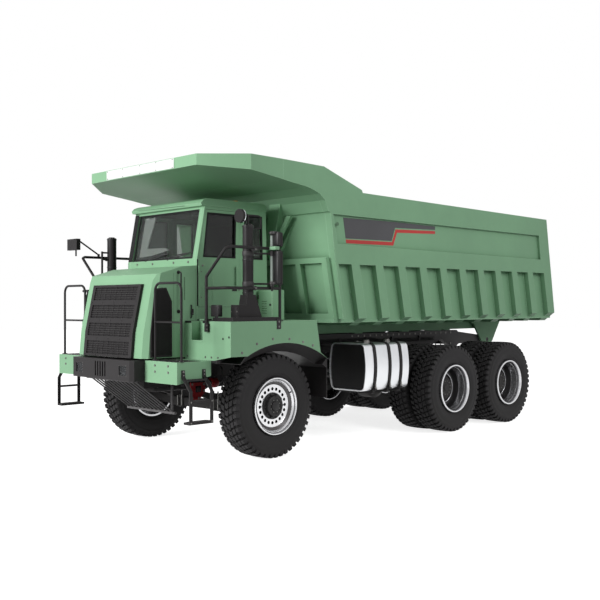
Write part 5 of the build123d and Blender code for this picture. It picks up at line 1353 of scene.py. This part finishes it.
# How bright the backdrop and the floor are to rays that light the truck, and to rays that show them
SKY = (0.38, 1.0)
FLOOR = (0.30, 0.93)
floor_glow = 0.80


def make_camera():
    forward = Vector((-math.sin(camera_heading) * math.cos(camera_pitch),
                      math.cos(camera_heading) * math.cos(camera_pitch), math.sin(camera_pitch)))
    right = forward.cross(Vector((0, 0, 1))).normalized()
    up = right.cross(forward)
    cos, sin = math.cos(camera_roll), math.sin(camera_roll)
    right, up = cos * right + sin * up, -sin * right + cos * up
    camera = bpy.data.objects.new("camera", bpy.data.cameras.new("camera"))
    camera.matrix_world = Matrix((right, up, -forward)).transposed().to_4x4()
    camera.location = camera_place
    camera.data.lens = camera_lens
    camera.data.clip_end = 200
    scene.collection.objects.link(camera)
    scene.camera = camera


def add_light(name, place, target, size, power):
    light = bpy.data.objects.new(name, bpy.data.lights.new(name, "AREA"))
    light.data.size = size
    light.data.energy = power
    light.location = place
    light.rotation_mode = "QUATERNION"
    light.rotation_quaternion = (Vector(target) - Vector(place)).to_track_quat("-Z", "Y")
    scene.collection.objects.link(light)


def seen_ray(add):
    """1 for the rays that show the backdrop itself: straight to the camera, mirrored or through glass."""
    path = add("LightPath").node.outputs
    mirrored = add("Math", {0: path["Is Camera Ray"], 1: path["Is Glossy Ray"]}, operation="MAXIMUM")
    return add("Math", {0: mirrored, 1: path["Is Transmission Ray"]}, operation="MAXIMUM")


def make_studio():
    """A pale floor under soft light, strongest from the front of the truck, before a white backdrop."""
    material, shader, add, _ = new_material("studio_floor")
    seen = seen_ray(add)
    dull, bright = ((tone, tone, tone, 1) for tone in FLOOR)
    fill(shader, {
        "Base Color": add("Mix", {"Factor": seen, "A": dull, "B": bright}, "Result", data_type="RGBA"),
        "Roughness": 0.9, "Specular IOR Level": 0.0, "Emission Color": (1, 1, 1, 1),
        "Emission Strength": product(add, seen, floor_glow)})
    bm = bmesh.new()
    bmesh.ops.create_grid(bm, x_segments=1, y_segments=1, size=60)
    mesh = bpy.data.meshes.new("floor")
    bm.to_mesh(mesh)
    bm.free()
    mesh.materials.append(material)
    floor = bpy.data.objects.new("floor", mesh)
    scene.collection.objects.link(floor)

    world = bpy.data.worlds.new("studio")
    world.use_nodes = True
    add = adder(world.node_tree)
    strength = add("MapRange", {"Value": seen_ray(add), "To Min": SKY[0], "To Max": SKY[1]}, "Result")
    fill(world.node_tree.nodes["Background"], {"Color": (1, 1, 1, 1), "Strength": strength})
    scene.world = world
    add_light("key", (-2, -18, 6.5), (0.3, 0.5, 1.5), 6, 2350)
    add_light("side", (12, -1, 8), (1.0, 2.5, 2.0), 5, 520)
    scene.view_settings.view_transform = "Standard"


for make in (dress_nodes, make_tyres, make_rims, make_fuel_tank, make_hydraulic_tank, make_grille,
             make_headlamps, make_front_trim, make_cab_seals, make_cab_trim, make_seats, make_dash_details,
             make_deck_fittings, make_rail_fittings, make_ladder_fittings, make_mirror_fittings, make_decals,
             make_body_details, make_chassis_fittings, make_red_gear, make_engine_details, make_camera,
             make_studio):
    make()
